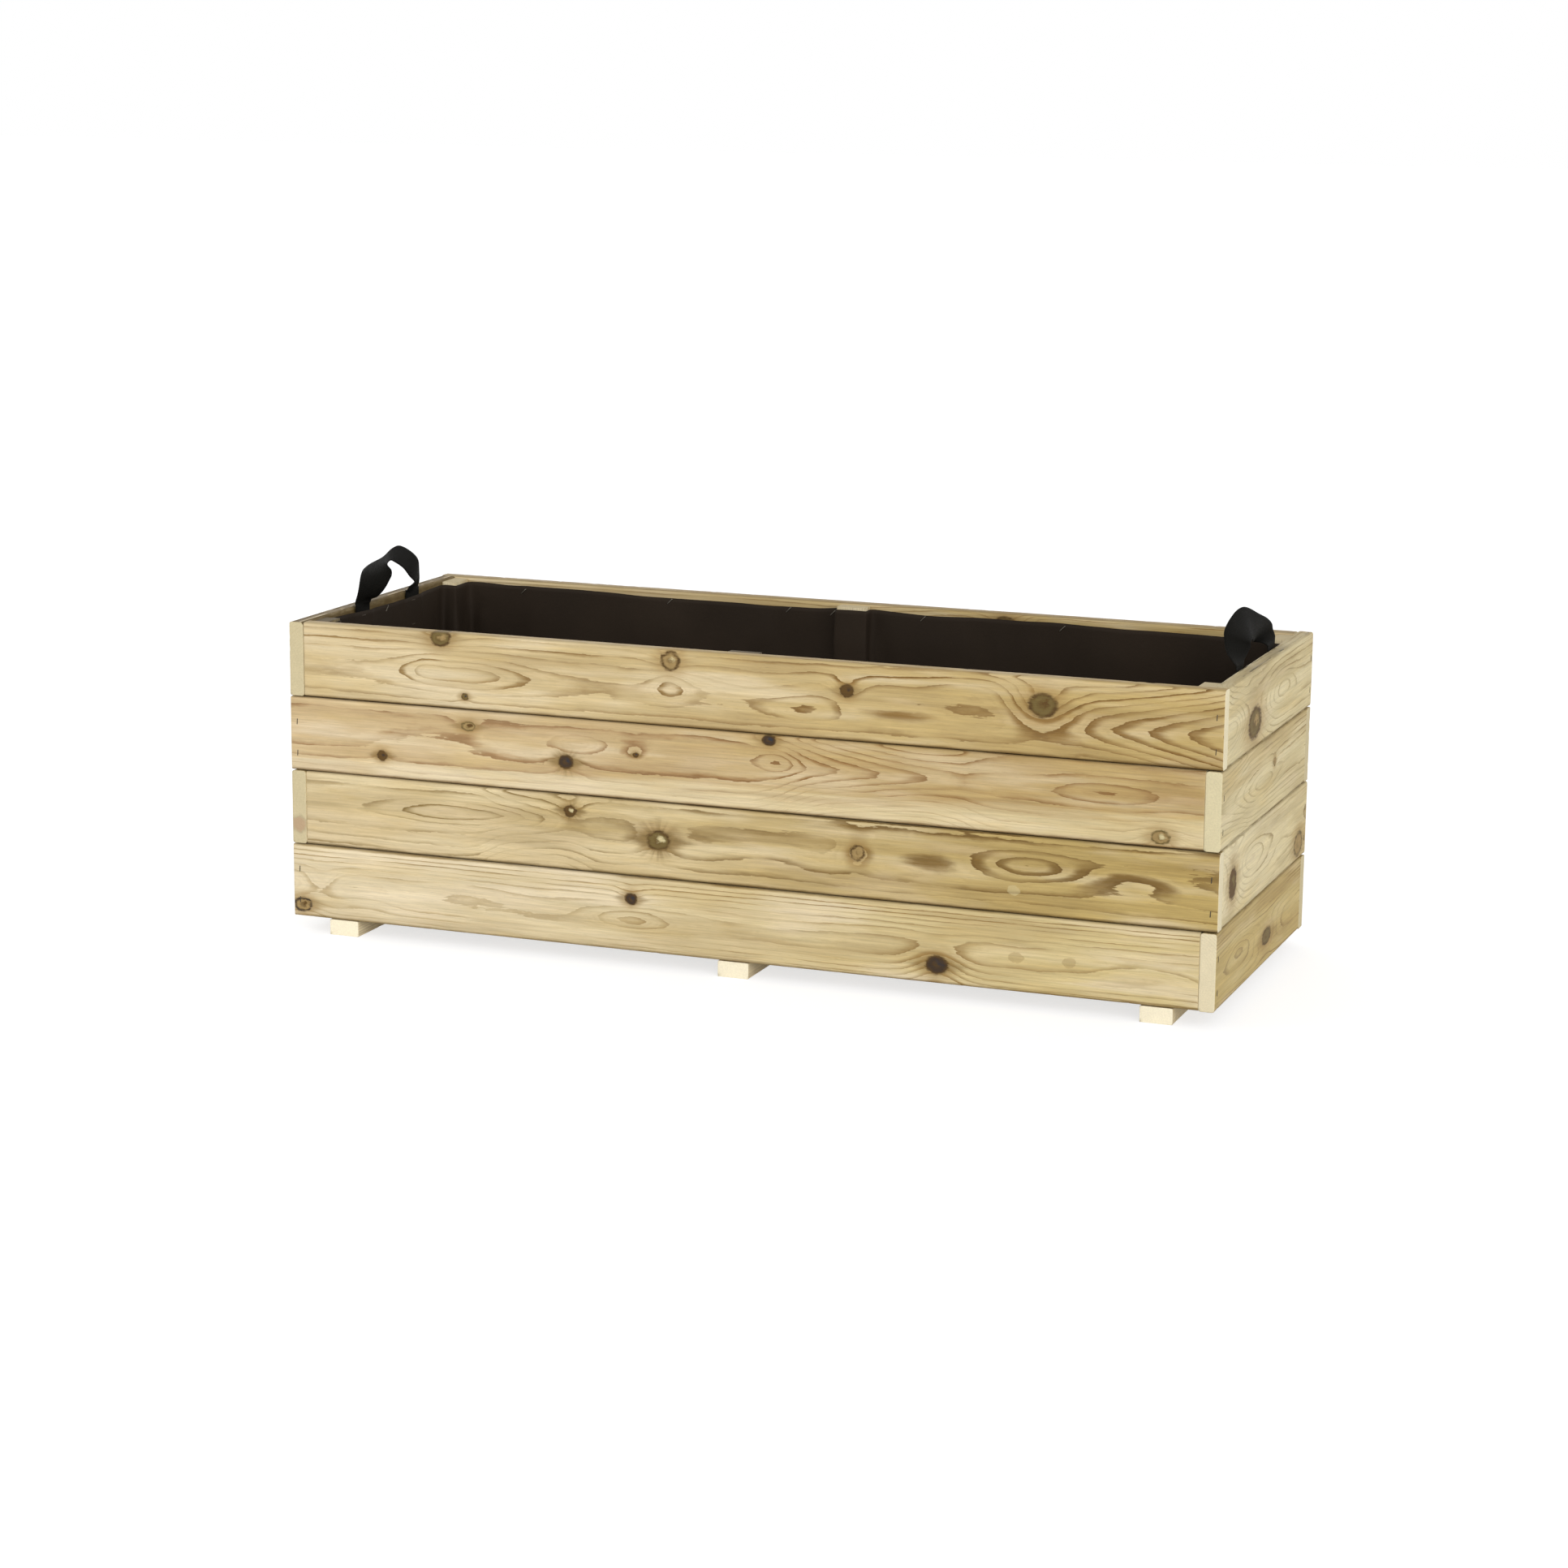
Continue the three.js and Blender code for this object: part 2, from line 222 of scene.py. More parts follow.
def surface(nodes, fixed, varying, height, depth, strength):
    """The Principled shader: fixed sockets set, varying ones linked, and a bump of height times depth."""
    bump = nodes.take("ShaderNodeBump", {}, {"Strength": strength, "Distance": depth, "Height": height})
    shader = nodes.take("ShaderNodeBsdfPrincipled", {}, {**fixed, **varying, "Normal": bump})
    nodes.add("ShaderNodeOutputMaterial", {}, {"Surface": shader})


def kinds(**words):
    """Socket names with their kinds, from such words as Float="Seed, End"."""
    return {name: kind for kind, names in words.items() for name in names.split(", ")}


def new_group(name, family, inputs, outputs):
    """A node group with named sockets: its tree, its nodes, and each input as a Value."""
    tree = bpy.data.node_groups.new(name, family)
    for way, sockets in (("INPUT", inputs), ("OUTPUT", outputs)):
        for socket, kind in sockets.items():
            tree.interface.new_socket(socket, in_out=way, socket_type="NodeSocket" + kind)
    nodes = Nodes(tree)
    given = nodes.add("NodeGroupInput")
    return tree, nodes, {socket: Value(nodes, given.outputs[socket]) for socket in inputs}


def shared(name, maker):
    """A node group that is built once and used by many pieces."""
    return bpy.data.node_groups.get(name) or maker()


def use_group(nodes, tree, inputs):
    """The named outputs of a shader group in another tree."""
    tints = {k: opaque(v) for k, v in inputs.items() if k.endswith("Tint") and isinstance(v, tuple)}
    node = nodes.add("ShaderNodeGroup", {"node_tree": tree}, {**inputs, **tints})
    return {socket.name: Value(nodes, socket) for socket in node.outputs}


def new_geometry_tree(name, **words):
    """A Geometry Nodes tree whose inputs are a geometry and the named ones."""
    geometry = {"Geometry": "Geometry"}
    return new_group(name, "GeometryNodeTree", {**geometry, **kinds(**words)}, geometry)


def end_geometry_tree(nodes, geometry, finish):
    """Ends a tree in Realize Instances and Set Material."""
    real = nodes.take("GeometryNodeRealizeInstances", {}, [geometry])
    dressed = nodes.take("GeometryNodeSetMaterial", {}, {"Geometry": real, "Material": finish})
    nodes.add("NodeGroupOutput", {}, [dressed])


def use_tree(piece, tree, values):
    """Gives piece the tree as a modifier, with its inputs set by their sockets' identifiers."""
    modifier = piece.modifiers.new(tree.name, "NODES")
    modifier.node_group = tree
    for item in tree.interface.items_tree:
        if item.item_type == "SOCKET" and item.in_out == "INPUT" and item.name in values:
            modifier[item.identifier] = values[item.name]


# Pieces and their meshes


def new_piece(name, vertices=(), faces=()):
    """A new object at the origin, its vertices in metres."""
    mesh = bpy.data.meshes.new(name)
    mesh.from_pydata([tuple(map(float, v)) for v in vertices], [], faces)
    piece = bpy.data.objects.new(name, mesh)
    bpy.context.scene.collection.objects.link(piece)
    return piece


def finish_piece(piece, slot, *nodes):
    """Ties a piece to the box and hides the frame's nodes that it stands for; its slot is not used."""
    if nodes:
        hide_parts(*nodes)
    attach(piece, "box")


def settle(piece):
    """Turns a piece and its modifiers into a plain mesh."""
    graph = bpy.context.evaluated_depsgraph_get()
    made = piece.evaluated_get(graph)
    mesh = bpy.data.meshes.new_from_object(made, preserve_all_data_layers=True, depsgraph=graph)
    piece.modifiers.clear()
    old, piece.data = piece.data, mesh
    bpy.data.meshes.remove(old)
    mesh.name = piece.name
    mesh.shade_smooth()


def points_of(mesh):
    """The mesh's points as rows of x, y, z in millimetres."""
    flat = np.zeros(len(mesh.vertices) * 3, np.float32)
    mesh.vertices.foreach_get("co", flat)
    return flat.reshape(-1, 3).astype(float) / MM


def tube_faces(rows, around):
    """The faces between rows of points that each run once around."""
    return [
        (j + i, j + (i + 1) % around, j + around + (i + 1) % around, j + around + i)
        for j in range(0, (rows - 1) * around, around)
        for i in range(around)
    ]


def unit_rows(rows):
    """Each row of an array, made one long."""
    return rows / np.linalg.norm(rows, axis=1)[:, None]


# Timber

# Each tone is the wood at the left end, at the right end, its palest bands and its summer rings. The left
# end's paler, less saturated colour is partly painted light, brighter towards the left.
TONES = {
    "straw": ((210, 191, 151), (191, 166, 109), (224, 207, 171), (138, 106, 54)),
    "rose": ((221, 204, 168), (214, 195, 148), (231, 215, 183), (148, 112, 64)),
    "olive": ((212, 193, 154), (187, 162, 100), (224, 207, 167), (126, 98, 46)),
    "cream": ((217, 201, 166), (209, 190, 137), (232, 216, 184), (152, 122, 68)),
    "chalk": ((211, 196, 154), (207, 191, 146), (226, 213, 174), (154, 130, 80)),
    "husk": ((190, 168, 112), (184, 160, 102), (208, 190, 136), (132, 104, 52)),
    "shaded": ((74, 62, 44), (74, 62, 44), (84, 72, 52), (58, 46, 30)),
    "batten": ((222, 205, 167), (222, 207, 171), (238, 225, 193), (182, 156, 108)),
}
COURSE_TONES = ("straw", "rose", "olive", "cream")
COURSE_SLOTS = ("board_pale", "board_pink", "board_tan", "board_cream")
# The tones of the posts and runners, which get no painted seam shade
NO_SEAM_SHADE_TONES = ("batten", "shaded")

# The spacing of a timber's points in millimetres, coarser on the hidden floor, how much of the rounding
# a sawn edge gets, and the number of the first ring
GRID, FLOOR_GRID = 5.0, 9.0
SAWN_EDGE, FIRST_RING = 0.28, 8.0

SAWN = (203, 189, 151)
SAWN_RUNNER, SAWN_POST, SAWN_IN_SHADE = (250, 240, 212), (200, 184, 146), (54, 44, 30)
# The tint that the tops of the timbers are darkened towards
DARKENING_TINT = (136, 118, 80)
HONEY, BISCUIT = paint(206, 178, 112), paint(226, 206, 178)
KNOT_COLLAR, KNOT_BURST, KNOT_WING = paint(158, 124, 68), paint(126, 106, 62), paint(124, 100, 54)

KNOT_TINTS = {
    "pale": (206, 192, 146),
    "tan": (158, 132, 84),
    "olive": (110, 92, 48),
    "brown": (88, 62, 20),
    "plum": (56, 41, 26),
    "black": (42, 42, 48),
}
SEEDED_KNOTS = (("tan", "brown", "olive"), ("olive", "brown", "tan"), ("plum", "brown", "black"))

# How the rings of each photographed board run. Lengths are in millimetres, along the board and up from
# its middle.
#   pith   how far the tree's heart lies above the middle of the board, and behind its face
#   pitch  the distance between rings in the tree
#   tilt   how much nearer the heart comes, per millimetre along
#   swells (along, up, rings, reach along, reach up): closed islands and eyes in the figure
#   ramps  (from, to, rings, height of the noses, how pointed): a run of arrowheads
#   knots  (along, up, half length, half height, heart tint, rim tint, middle tint, streak, rings round it)
#   bold   (along, up, reach along, reach up, amount): places where the summer wood is broad and dark
#   zone   (boundary up, slope, tint, strength): a band of another colour along the board
#   lines  how strongly the ring lines show, where that isn't 1
#   sawn   the tint of the sawn ends, where it isn't the usual one
GRAIN = {
    "front_board_1": {
        "tone": "straw",
        "pith": (-8, 60),
        "pitch": 6.0,
        "tilt": 0.001,
        "swells": [(-352, -3, -2.6, 82, 21), (-410, 0, -1.0, 24, 16), (-83, -1, -1.5, 24, 15),
                   (20, 16, 0.8, 70, 20), (300, 30, -0.8, 60, 16), (215, -12, 1.0, 70, 12),
                   (92, -14, -1.2, 44, 14)],
        "ramps": [(430, 640, -4.9, -8, 0.46)],
        "bold": [(515, -8, 130, 26, 0.8), (384, -10, 60, 22, 0.6), (196, -9, 110, 9, 0.9),
                 (-352, -3, 110, 26, 0.35), (-83, -2, 34, 20, 0.35)],
        "knots": [(-390, 40, 13, 10, "olive", "brown", "tan", 0.5, 1.0),
                  (-357, -31, 5, 4, "olive", "brown", "black", 0.5, 0.3),
                  (-83, 33, 12, 11, "tan", "brown", "pale", 0.2, 1.0),
                  (143, 13, 8.5, 8, "brown", "brown", "plum", 0.6, 1.2),
                  (384, 14, 17, 14, "olive", "brown", "brown", 0.3, 3.4)],
        "zone": (-60, 0.0, (204, 180, 130), 0.3),
        "lines": 1.25,
        "seed": 3.1,
        # Pale sawn end grain, made paler still as a painted highlight on the right end, which the lamps light
        # less
        "sawn": (236, 224, 190),
    },
    "front_board_2": {
        "tone": "rose",
        "pith": (12, 60),
        "pitch": 6.4,
        "tilt": 0.0,
        "swells": [(-205, 18, -1.4, 34, 11), (-130, 14, 0.9, 26, 12), (56, 14, -1.6, 26, 12),
                   (462, 11, -1.7, 62, 14), (-400, 6, 0.8, 90, 18)],
        "ramps": [(60, 290, 4.4, 11, 0.85)],
        "bold": [(190, 11, 100, 18, 0.55), (470, 10, 110, 14, 0.45)],
        "knots": [(-353, 27, 9, 6, "tan", "olive", "brown", 0.8, 0.4),
                  (-472, -19, 7, 6.5, "brown", "brown", "plum", 0.9, 0.4),
                  (-221, -7, 10, 8.5, "plum", "brown", "black", 1.1, 0.6),
                  (-128, 9, 4, 3, "brown", "brown", "black", 1.0, 0.2),
                  (45, 41, 9, 6.5, "plum", "brown", "black", 0.5, 0.6),
                  (529, -35, 11, 8, "tan", "olive", "pale", 0.2, 1.4)],
        "zone": (-20.5, 0.018, (200, 175, 131), 0.92),
        "lines": 1.2,
        "seed": 11.7,
    },
    "front_board_3": {
        "tone": "olive",
        "pith": (10, 66),
        "pitch": 6.4,
        "tilt": 0.0,
        "swells": [(-390, 11, -2.0, 74, 13), (-300, 13, -1.0, 40, 10), (372, 12, -1.8, 48, 13),
                   (250, 6, 1.0, 60, 16), (500, 2, 1.2, 60, 18), (40, -12, 0.8, 70, 20)],
        "ramps": [(-330, -200, 1.6, 14, 0.4)],
        "knots": [(-215, 27, 8, 7.5, "brown", "brown", "pale", 1.1, 0.6),
                  (-98, 0, 15, 12, "olive", "brown", "pale", 1.3, 0.8),
                  (159, 8, 9, 9, "tan", "brown", "tan", 0.2, 1.5),
                  (354, -19, 8, 6, "pale", "pale", "pale", 0.0, 0.0)],
        "bold": [(262, 9, 60, 12, 1.3), (372, 10, 90, 24, 0.7), (490, 2, 100, 14, 1.4),
                 (159, 4, 50, 26, 0.4)],
        "zone": (0, 0.0, (186, 163, 110), 0.35),
        "seed": 23.9,
        # Pale sawn end grain, made paler still as a painted highlight on the right end, which the lamps light
        # less
        "sawn": (230, 218, 184),
    },
    "front_board_4": {
        "tone": "cream",
        "pith": (-6, 36),
        "pitch": 4.2,
        "tilt": 0.002,
        "swells": [(-133, -8, -1.9, 44, 13), (-250, 0, 0.7, 60, 14), (520, -12, 1.3, 70, 14),
                   (60, 10, 0.6, 110, 20), (-560, 2, 1.5, 26, 18), (-500, -22, 0.9, 40, 12),
                   (-440, -2, 0.8, 60, 12)],
        "bold": [(261, -16, 80, 30, 0.95), (-560, -20, 40, 30, 0.5), (-133, -6, 60, 18, 0.4)],
        "knots": [(-587, -31, 12, 9, "tan", "plum", "brown", 0.6, 1.2),
                  (-134, 19, 8, 7.5, "plum", "brown", "black", 0.8, 0.9),
                  (261, -24, 14, 11, "plum", "brown", "black", 0.8, 2.4),
                  (359, -5, 10, 7, "tan", "tan", "tan", 0.0, 0.0),
                  (424, -5, 9, 7, "tan", "tan", "tan", 0.0, 0.0)],
        "zone": (30, 0.0, (214, 192, 150), 0.2),
        "seed": 37.3,
    },
    "right_board_1": {
        "tone": "chalk",
        "pith": (-4, 56),
        "pitch": 4.6,
        "tilt": 0.0,
        "swells": [(70, 4, -2.4, 60, 18), (-170, -6, -1.8, 34, 20)],
        "ramps": [(-210, -110, 1.5, -6, 0.3)],
        "knots": [(-75, -16, 30, 19, "olive", "brown", "tan", 0.2, 3.4)],
        "zone": (10, 0.0, (200, 184, 144), 0.5),
        "seed": 41.5,
    },
    "right_board_2": {
        "tone": "chalk",
        "pith": (2, 44),
        "pitch": 3.9,
        "tilt": 0.012,
        "swells": [(-20, -4, -2.6, 80, 17)],
        "ramps": [(-230, -100, -1.5, 0, 0.3)],
        "knots": [(36, 12, 6, 5, "tan", "olive", "tan", 0.4, 0.8)],
        "zone": (16, 0.02, (190, 166, 116), 0.5),
        "seed": 53.2,
        "sawn": (219, 207, 168),
    },
    "right_board_3": {
        "tone": "chalk",
        "pith": (6, 58),
        "pitch": 4.2,
        "tilt": 0.006,
        "swells": [(-60, 10, -2.0, 60, 20), (90, -6, 1.4, 60, 20)],
        "knots": [(-159, -2, 17, 19, "brown", "brown", "olive", 0.3, 3.0),
                  (184, -26, 22, 15, "tan", "olive", "tan", 0.2, 2.2)],
        "zone": (-34, 0.0, (231, 219, 186), 0.75),
        "lines": 0.7,
        "seed": 61.8,
    },
    "right_board_4": {
        "tone": "husk",
        "pith": (-10, 40),
        "pitch": 3.4,
        "tilt": 0.01,
        "swells": [(20, -8, 2.4, 60, 16), (-120, 6, -1.6, 50, 18)],
        "knots": [(26, -13, 22, 10, "olive", "brown", "olive", 0.6, 1.8)],
        "zone": (24, 0.0, (170, 146, 98), 0.4),
        "seed": 77.4,
        "sawn": (229, 216, 182),
    },
}

# What only some of the other boards have, whose grain comes from seeds
#   face_darkening  how much the faces that look the darkening way are darkened; on the left wall's inside
#   face this is painted shade
#   darkening_way   that way, where it isn't straight up
#   darkening_tint  the tint of that darkening
#   end_knot  (up, depth, radius, tint): a knot that shows in the sawn end
EXTRAS = {
    # Its inside face and its top darkened, the inside face as painted shade
    "left_board_1": {"face_darkening": 0.95, "darkening_tint": (98, 80, 44), "darkening_way": (0.9, 0.0, 0.95)},
    "left_board_3": {"end_knot": (-22, 9, 11, (170, 132, 104))},
    "back_board_1": {"face_darkening": 0.62, "darkening_tint": (126, 108, 72)},
}


def natural_grain(tone, seed, half_length, half_height, knots):
    """The rings and knots of a board that the photograph doesn't show, from a fixed seed."""
    chance = np.random.default_rng(seed)

    def between(low, high):
        return float(chance.uniform(low, high))

    def swell():
        place = between(-0.9, 0.9) * half_length, between(-0.3, 0.3) * half_height
        return (*place, between(-2.6, 1.2), between(40, 90), between(0.25, 0.45) * half_height)

    def knot():
        size = between(0.06, 0.14) * 2 * half_height
        tints = SEEDED_KNOTS[int(chance.integers(3))]
        place = between(-0.85, 0.85) * half_length, between(-0.8, 0.8) * half_height
        return (*place, size * between(1.0, 1.4), size, *tints, between(0.1, 0.9), between(1.0, 3.4))

    swells = [swell() for _ in range(max(1, round(half_length / 130)))]
    start = between(-0.8, 0.5) * half_length
    return {
        "tone": tone,
        "pith": (between(-0.3, 0.3) * half_height, between(42, 70)),
        "pitch": between(3.4, 5.6),
        "tilt": between(-0.004, 0.004),
        "swells": swells,
        "ramps": [(start, start + 240, between(-4, 4), between(-0.3, 0.3) * half_height, between(0.1, 0.5))],
        "knots": [knot() for _ in range(knots)],
        "zone": (between(-0.6, 0.6) * half_height, between(-0.01, 0.01), TONES[tone][1], between(0.2, 0.6)),
        "seed": seed * 1.7,
    }


def hill(along, up, reach, reach_up):
    """1 where along and up are 0, and falling away smoothly round it."""
    return np.exp(-((along / reach) ** 2) - (up / reach_up) ** 2)


def ring_count(along, up, depth, grain):
    """How many rings lie between the tree's heart and each point of a board, in rings."""
    heart_up, heart_depth = grain["pith"]
    for k_along, k_up, half_length, half_height, *_ in grain["knots"]:
        near = hill(along - k_along, up - k_up, 2.6 * half_length, 1.9 * half_height)
        up = up + (up - k_up) * 0.45 * near
    far = heart_depth - grain["tilt"] * along
    rings = np.hypot(up - heart_up, far - depth) / grain["pitch"]
    for s_along, s_up, amount, reach, reach_up in grain["swells"]:
        rings += amount * hill(along - s_along, up - s_up, reach, reach_up)
    for k_along, k_up, half_length, half_height, *_, amount in grain["knots"]:
        rings += amount * hill(along - k_along, up - k_up, 2.3 * half_length, 2.3 * half_height)
    for start, end, amount, nose_up, point in grain.get("ramps", ()):
        rings += amount * np.clip((along - start) / (end - start), 0, 1)
        within = np.exp(-((2.0 * (along - (start + end) / 2) / (end - start)) ** 4))
        rings += point * within * np.sqrt((up - nose_up) ** 2 + 9.0) / 10.0
    return rings


def boldness(along, up, grain):
    """How broad and dark the summer wood is at each point of a board, from 0 to 1."""
    bold = np.zeros_like(along)
    for b_along, b_up, reach, reach_up, amount in grain.get("bold", ()):
        bold += amount * hill(along - b_along, up - b_up, reach, reach_up)
    return np.clip(bold, 0, 1)


def figure_group():
    """Planed pine without its knots: ring lines, sap and heart bands, fibres, and the sawn end grain."""
    colours = "Left Tint, Right Tint, Pale Tint, Ring Tint, Sawn Tint, Zone Tint"
    numbers = "End, Seed, Zone Up, Zone Slope, Zone, Lines, Dirt"
    inputs = kinds(Vector="Point", Color=colours, Float=numbers)
    outputs = kinds(Color="Wood, Sawn", Float="Light, Height, Ragged, Flake, Rough")
    tree, nodes, given = new_group("pine figure", "ShaderNodeTree", inputs, outputs)
    point, end, seed, ring = given["Point"], given["End"], given["Seed"], given["Ring Tint"]
    along, up, _ = nodes.parts(point)

    def at(length, height, shift, detail=2.0, roughness=0.5):
        """A noise drawn out along the grain: its patches are about length by height, in millimetres."""
        start = nodes.joined(seed * 7.1 + shift, seed * 3.7 - shift, seed * 5.3 + 2 * shift)
        drawn = nodes.vector("MULTIPLY_ADD", point, (1 / length, 1 / height, 1 / height), start)
        return nodes.noise(drawn, detail, roughness)

    def toned(colour, *factors):
        """A colour with each of its parts multiplied."""
        return nodes.vector("MULTIPLY", colour, factors)

    slow = at(230, 26, 0.0, 3.0)
    wander = at(250, 30, 5.0)
    waver = at(75, 13, 7.0)
    ragged = at(20, 4.0, 9.0, 3.0, 0.6)
    fibre = at(34, 0.9, 14.0, 2.0, 0.6)
    streak = at(90, 2.0, 17.0, 3.0, 0.6)
    thread = at(220, 4.5, 19.0)
    fade = at(110, 18, 23.0)
    mottle = at(42, 17, 27.0, 3.0)
    flake = at(8, 6.5, 33.0, 3.0, 0.6)
    blush = at(130, 26, 41.0)

    # Ring lines: a broad band of summer wood that ends in a sharp line, with fine lines between
    rings = nodes.take("ShaderNodeAttribute", {"attribute_name": "rings"}, {}, "Fac")
    rings = rings + wander * 0.8 + waver * 0.42 + ragged * 0.28 + fibre * 0.12 + streak * 0.10
    share = rings.math("FRACT")
    year = {"W": rings.math("FLOOR") + seed}
    strength = nodes.take("ShaderNodeTexWhiteNoise", {"noise_dimensions": "1D"}, year)
    bold = nodes.take("ShaderNodeAttribute", {"attribute_name": "bold"}, {}, "Fac")
    edge = up - (given["Zone Up"] + along * given["Zone Slope"])
    edge = edge + (slow - 0.5) * 14.0 + (thread - 0.5) * 9.0 + (wander - 0.5) * 12.0
    above_zone = edge.rise(-4.5, 4.5)
    calm = 1.0 - (1.0 - above_zone) * given["Zone"] * 0.75
    faint = (0.40 + strength * 0.65) * (0.22 + fade.rise(0.38, 0.60) * 0.88)
    shown = faint.most(bold * 1.05) * given["Lines"] * calm
    close = 1.0 - share.rise(0.97, 1.0)
    band = share.rise(0.58 - bold * 0.24, 0.92 - bold * 0.14) * close * shown * (0.75 + fibre * 0.5)
    line = share.rise(0.84, 0.93) * close * shown * (0.6 + streak * 0.8)
    fine = (rings * 3.0 + ragged * 0.5).math("FRACT")
    fine = fine.rise(0.35, 0.85) * (1.0 - fine.rise(0.9, 1.0)) * (0.3 + mottle.rise(0.4, 0.65))

    # Colour: from the left end to the right, with the zone, pale and warm patches, and the rings over them.
    # The left end's paler, less saturated wood and rings are partly painted light, brighter towards the left.
    far = along.rise(-LENGTH / 2, LENGTH / 2)
    ring = nodes.mix(far.rise(0.15, 0.75), toned(ring, 1.30, 1.50, 2.20), ring)
    colour = nodes.mix(far, given["Left Tint"], given["Right Tint"])
    zone = nodes.mix(far, given["Zone Tint"], toned(given["Zone Tint"], 0.80, 0.74, 0.54))
    colour = nodes.mix(above_zone * given["Zone"], colour, zone)
    pale = slow.rise(0.47, 0.68) * (0.85 - 0.35 * given["Zone"] - far * 0.2)
    colour = nodes.mix(pale, colour, given["Pale Tint"])
    colour = nodes.mix((1.0 - slow.rise(0.32, 0.50)) * 0.30, colour, ring)
    colour = nodes.mix(blush.rise(0.50, 0.72) * 0.24, colour, HONEY)
    colour = nodes.mix((1.0 - blush.rise(0.30, 0.48)) * 0.18, colour, BISCUIT)
    colour = nodes.mix(fine * 0.10, colour, ring)
    colour = nodes.mix((band * 0.85).clamped(), colour, ring)
    colour = nodes.mix((line * (0.40 + far * 0.26)).clamped(), colour, toned(ring, 0.66, 0.58, 0.48))
    colour = nodes.mix(band * bold * 0.5, colour, toned(ring, 0.80, 0.74, 0.62))

    # Painted shade along the board's lower and upper edges where the courses meet, deepest under the lower
    # edge
    stray = (mottle - 0.5) * 5.0 + (streak - 0.5) * 4.0
    under = (0.0 - up + stray).rise(42.0, 46.5) * 0.80
    seam_shade = under.most((up + stray).rise(45.5, 48.5) * 0.45) * given["Dirt"]
    colour = nodes.mix(seam_shade, colour, toned(ring, 0.52, 0.48, 0.36))

    light = 1.0 + (fibre - 0.5) * 0.30 + (streak - 0.5) * 0.42 + (thread - 0.5) * 0.24 + (mottle - 0.5) * 0.18
    light = light - at(10, 0.6, 31.0, 1.0).rise(0.66, 0.76) * 0.16

    # The sawn end: saw marks, specks, and the rings only faintly
    saw = nodes.speckle(point, (0.05, 0.9, 0.22), 3.0, 0.6)
    start = nodes.joined(seed, seed, seed)
    speck = nodes.noise(nodes.vector("MULTIPLY_ADD", point, (0.3, 0.6, 0.6), start), 3.0, 0.65)
    sawn = nodes.mix(band * 0.10, given["Sawn Tint"], ring)
    sawn = nodes.shade(sawn, 0.98 + (saw - 0.5) * 0.16 + (speck - 0.5) * 0.30 + (mottle - 0.5) * 0.12)

    height = (fibre * 0.35 + streak * 0.35 + thread * 0.2 - line * 0.30) * (1.0 - end * 0.9)
    height = height + (saw * 0.6 + speck * 0.7) * end
    rough = 0.62 + fibre * 0.14 + end * 0.12 - line * 0.08
    made = {"Wood": colour, "Sawn": sawn, "Light": light, "Height": height, "Rough": rough}
    nodes.add("NodeGroupOutput", {}, {**made, "Ragged": ragged, "Flake": flake})
    return tree


def knot_group():
    """One knot over a colour: a crossed heart, a broken dark rim, a stained collar and dark wings."""
    colours, numbers = "Wood, Heart Tint, Rim Tint, Eye Tint", "Ragged, Flake, Wing, Heart, Broken"
    inputs = kinds(Color=colours, Vector="Point, Middle, Size, Wing Size", Float=numbers)
    outputs = kinds(Color="Wood", Float="Crack")
    tree, nodes, given = new_group("knot", "ShaderNodeTree", inputs, outputs)
    rim, solid, wing = given["Rim Tint"], given["Heart"], given["Wing"]
    flake = (given["Flake"] - 0.5) * given["Broken"]
    near = nodes.vector("SUBTRACT", given["Point"], given["Middle"])
    scaled = nodes.vector("MULTIPLY", near, given["Size"])
    radius = nodes.length(scaled)
    away = radius + flake
    eye = nodes.length(nodes.vector("SUBTRACT", scaled, (0.22, 0.16, 0.0))) + (given["Flake"] - 0.5) * 1.2
    spindle = nodes.vector("ABSOLUTE", nodes.vector("MULTIPLY", near, given["Wing Size"]))
    rod = nodes.dot(spindle, (1.0, 1.0, 0.0)) + flake * 0.5
    ray = radius + (given["Ragged"] - 0.5) * 1.6
    way = nodes.vector("MULTIPLY_ADD", nodes.vector("NORMALIZE", near), (3.4, 3.4, 0.0), given["Middle"])
    burst = nodes.noise(way, 1.0).rise(0.40, 0.66) * (1.0 - ray.rise(1.1, 2.7))
    burst = burst * ((wing - 0.9).most(0.0) * 4.0).least(1.0)

    colour = nodes.mix((1.0 - ray.rise(0.8, 2.7)) * 0.52 * solid, given["Wood"], KNOT_COLLAR)
    colour = nodes.mix(burst * 0.5, colour, KNOT_BURST)
    colour = nodes.mix((1.0 - rod.rise(0.50, 1.08)) * (wing * 0.62).least(0.8), colour, KNOT_WING)
    heart = nodes.mix(((away * 8.0 + flake * 9.0).sine() * 0.5 + 0.5) * 0.5, given["Heart Tint"], rim)
    heart = nodes.mix(1.0 - eye.rise(0.10, 0.48), heart, given["Eye Tint"])
    colour = nodes.mix((1.0 - away.rise(0.86, 1.04)) * (0.42 + 0.58 * solid), colour, heart)
    torn = (0.30 + given["Ragged"].rise(0.40, 0.60) * 0.70) * solid
    colour = nodes.mix(away.bell(0.95, 0.28) * torn, colour, nodes.shade(rim, 0.8))
    nodes.add("NodeGroupOutput", {}, {"Wood": colour, "Crack": away.bell(0.97, 0.14) * solid})
    return tree


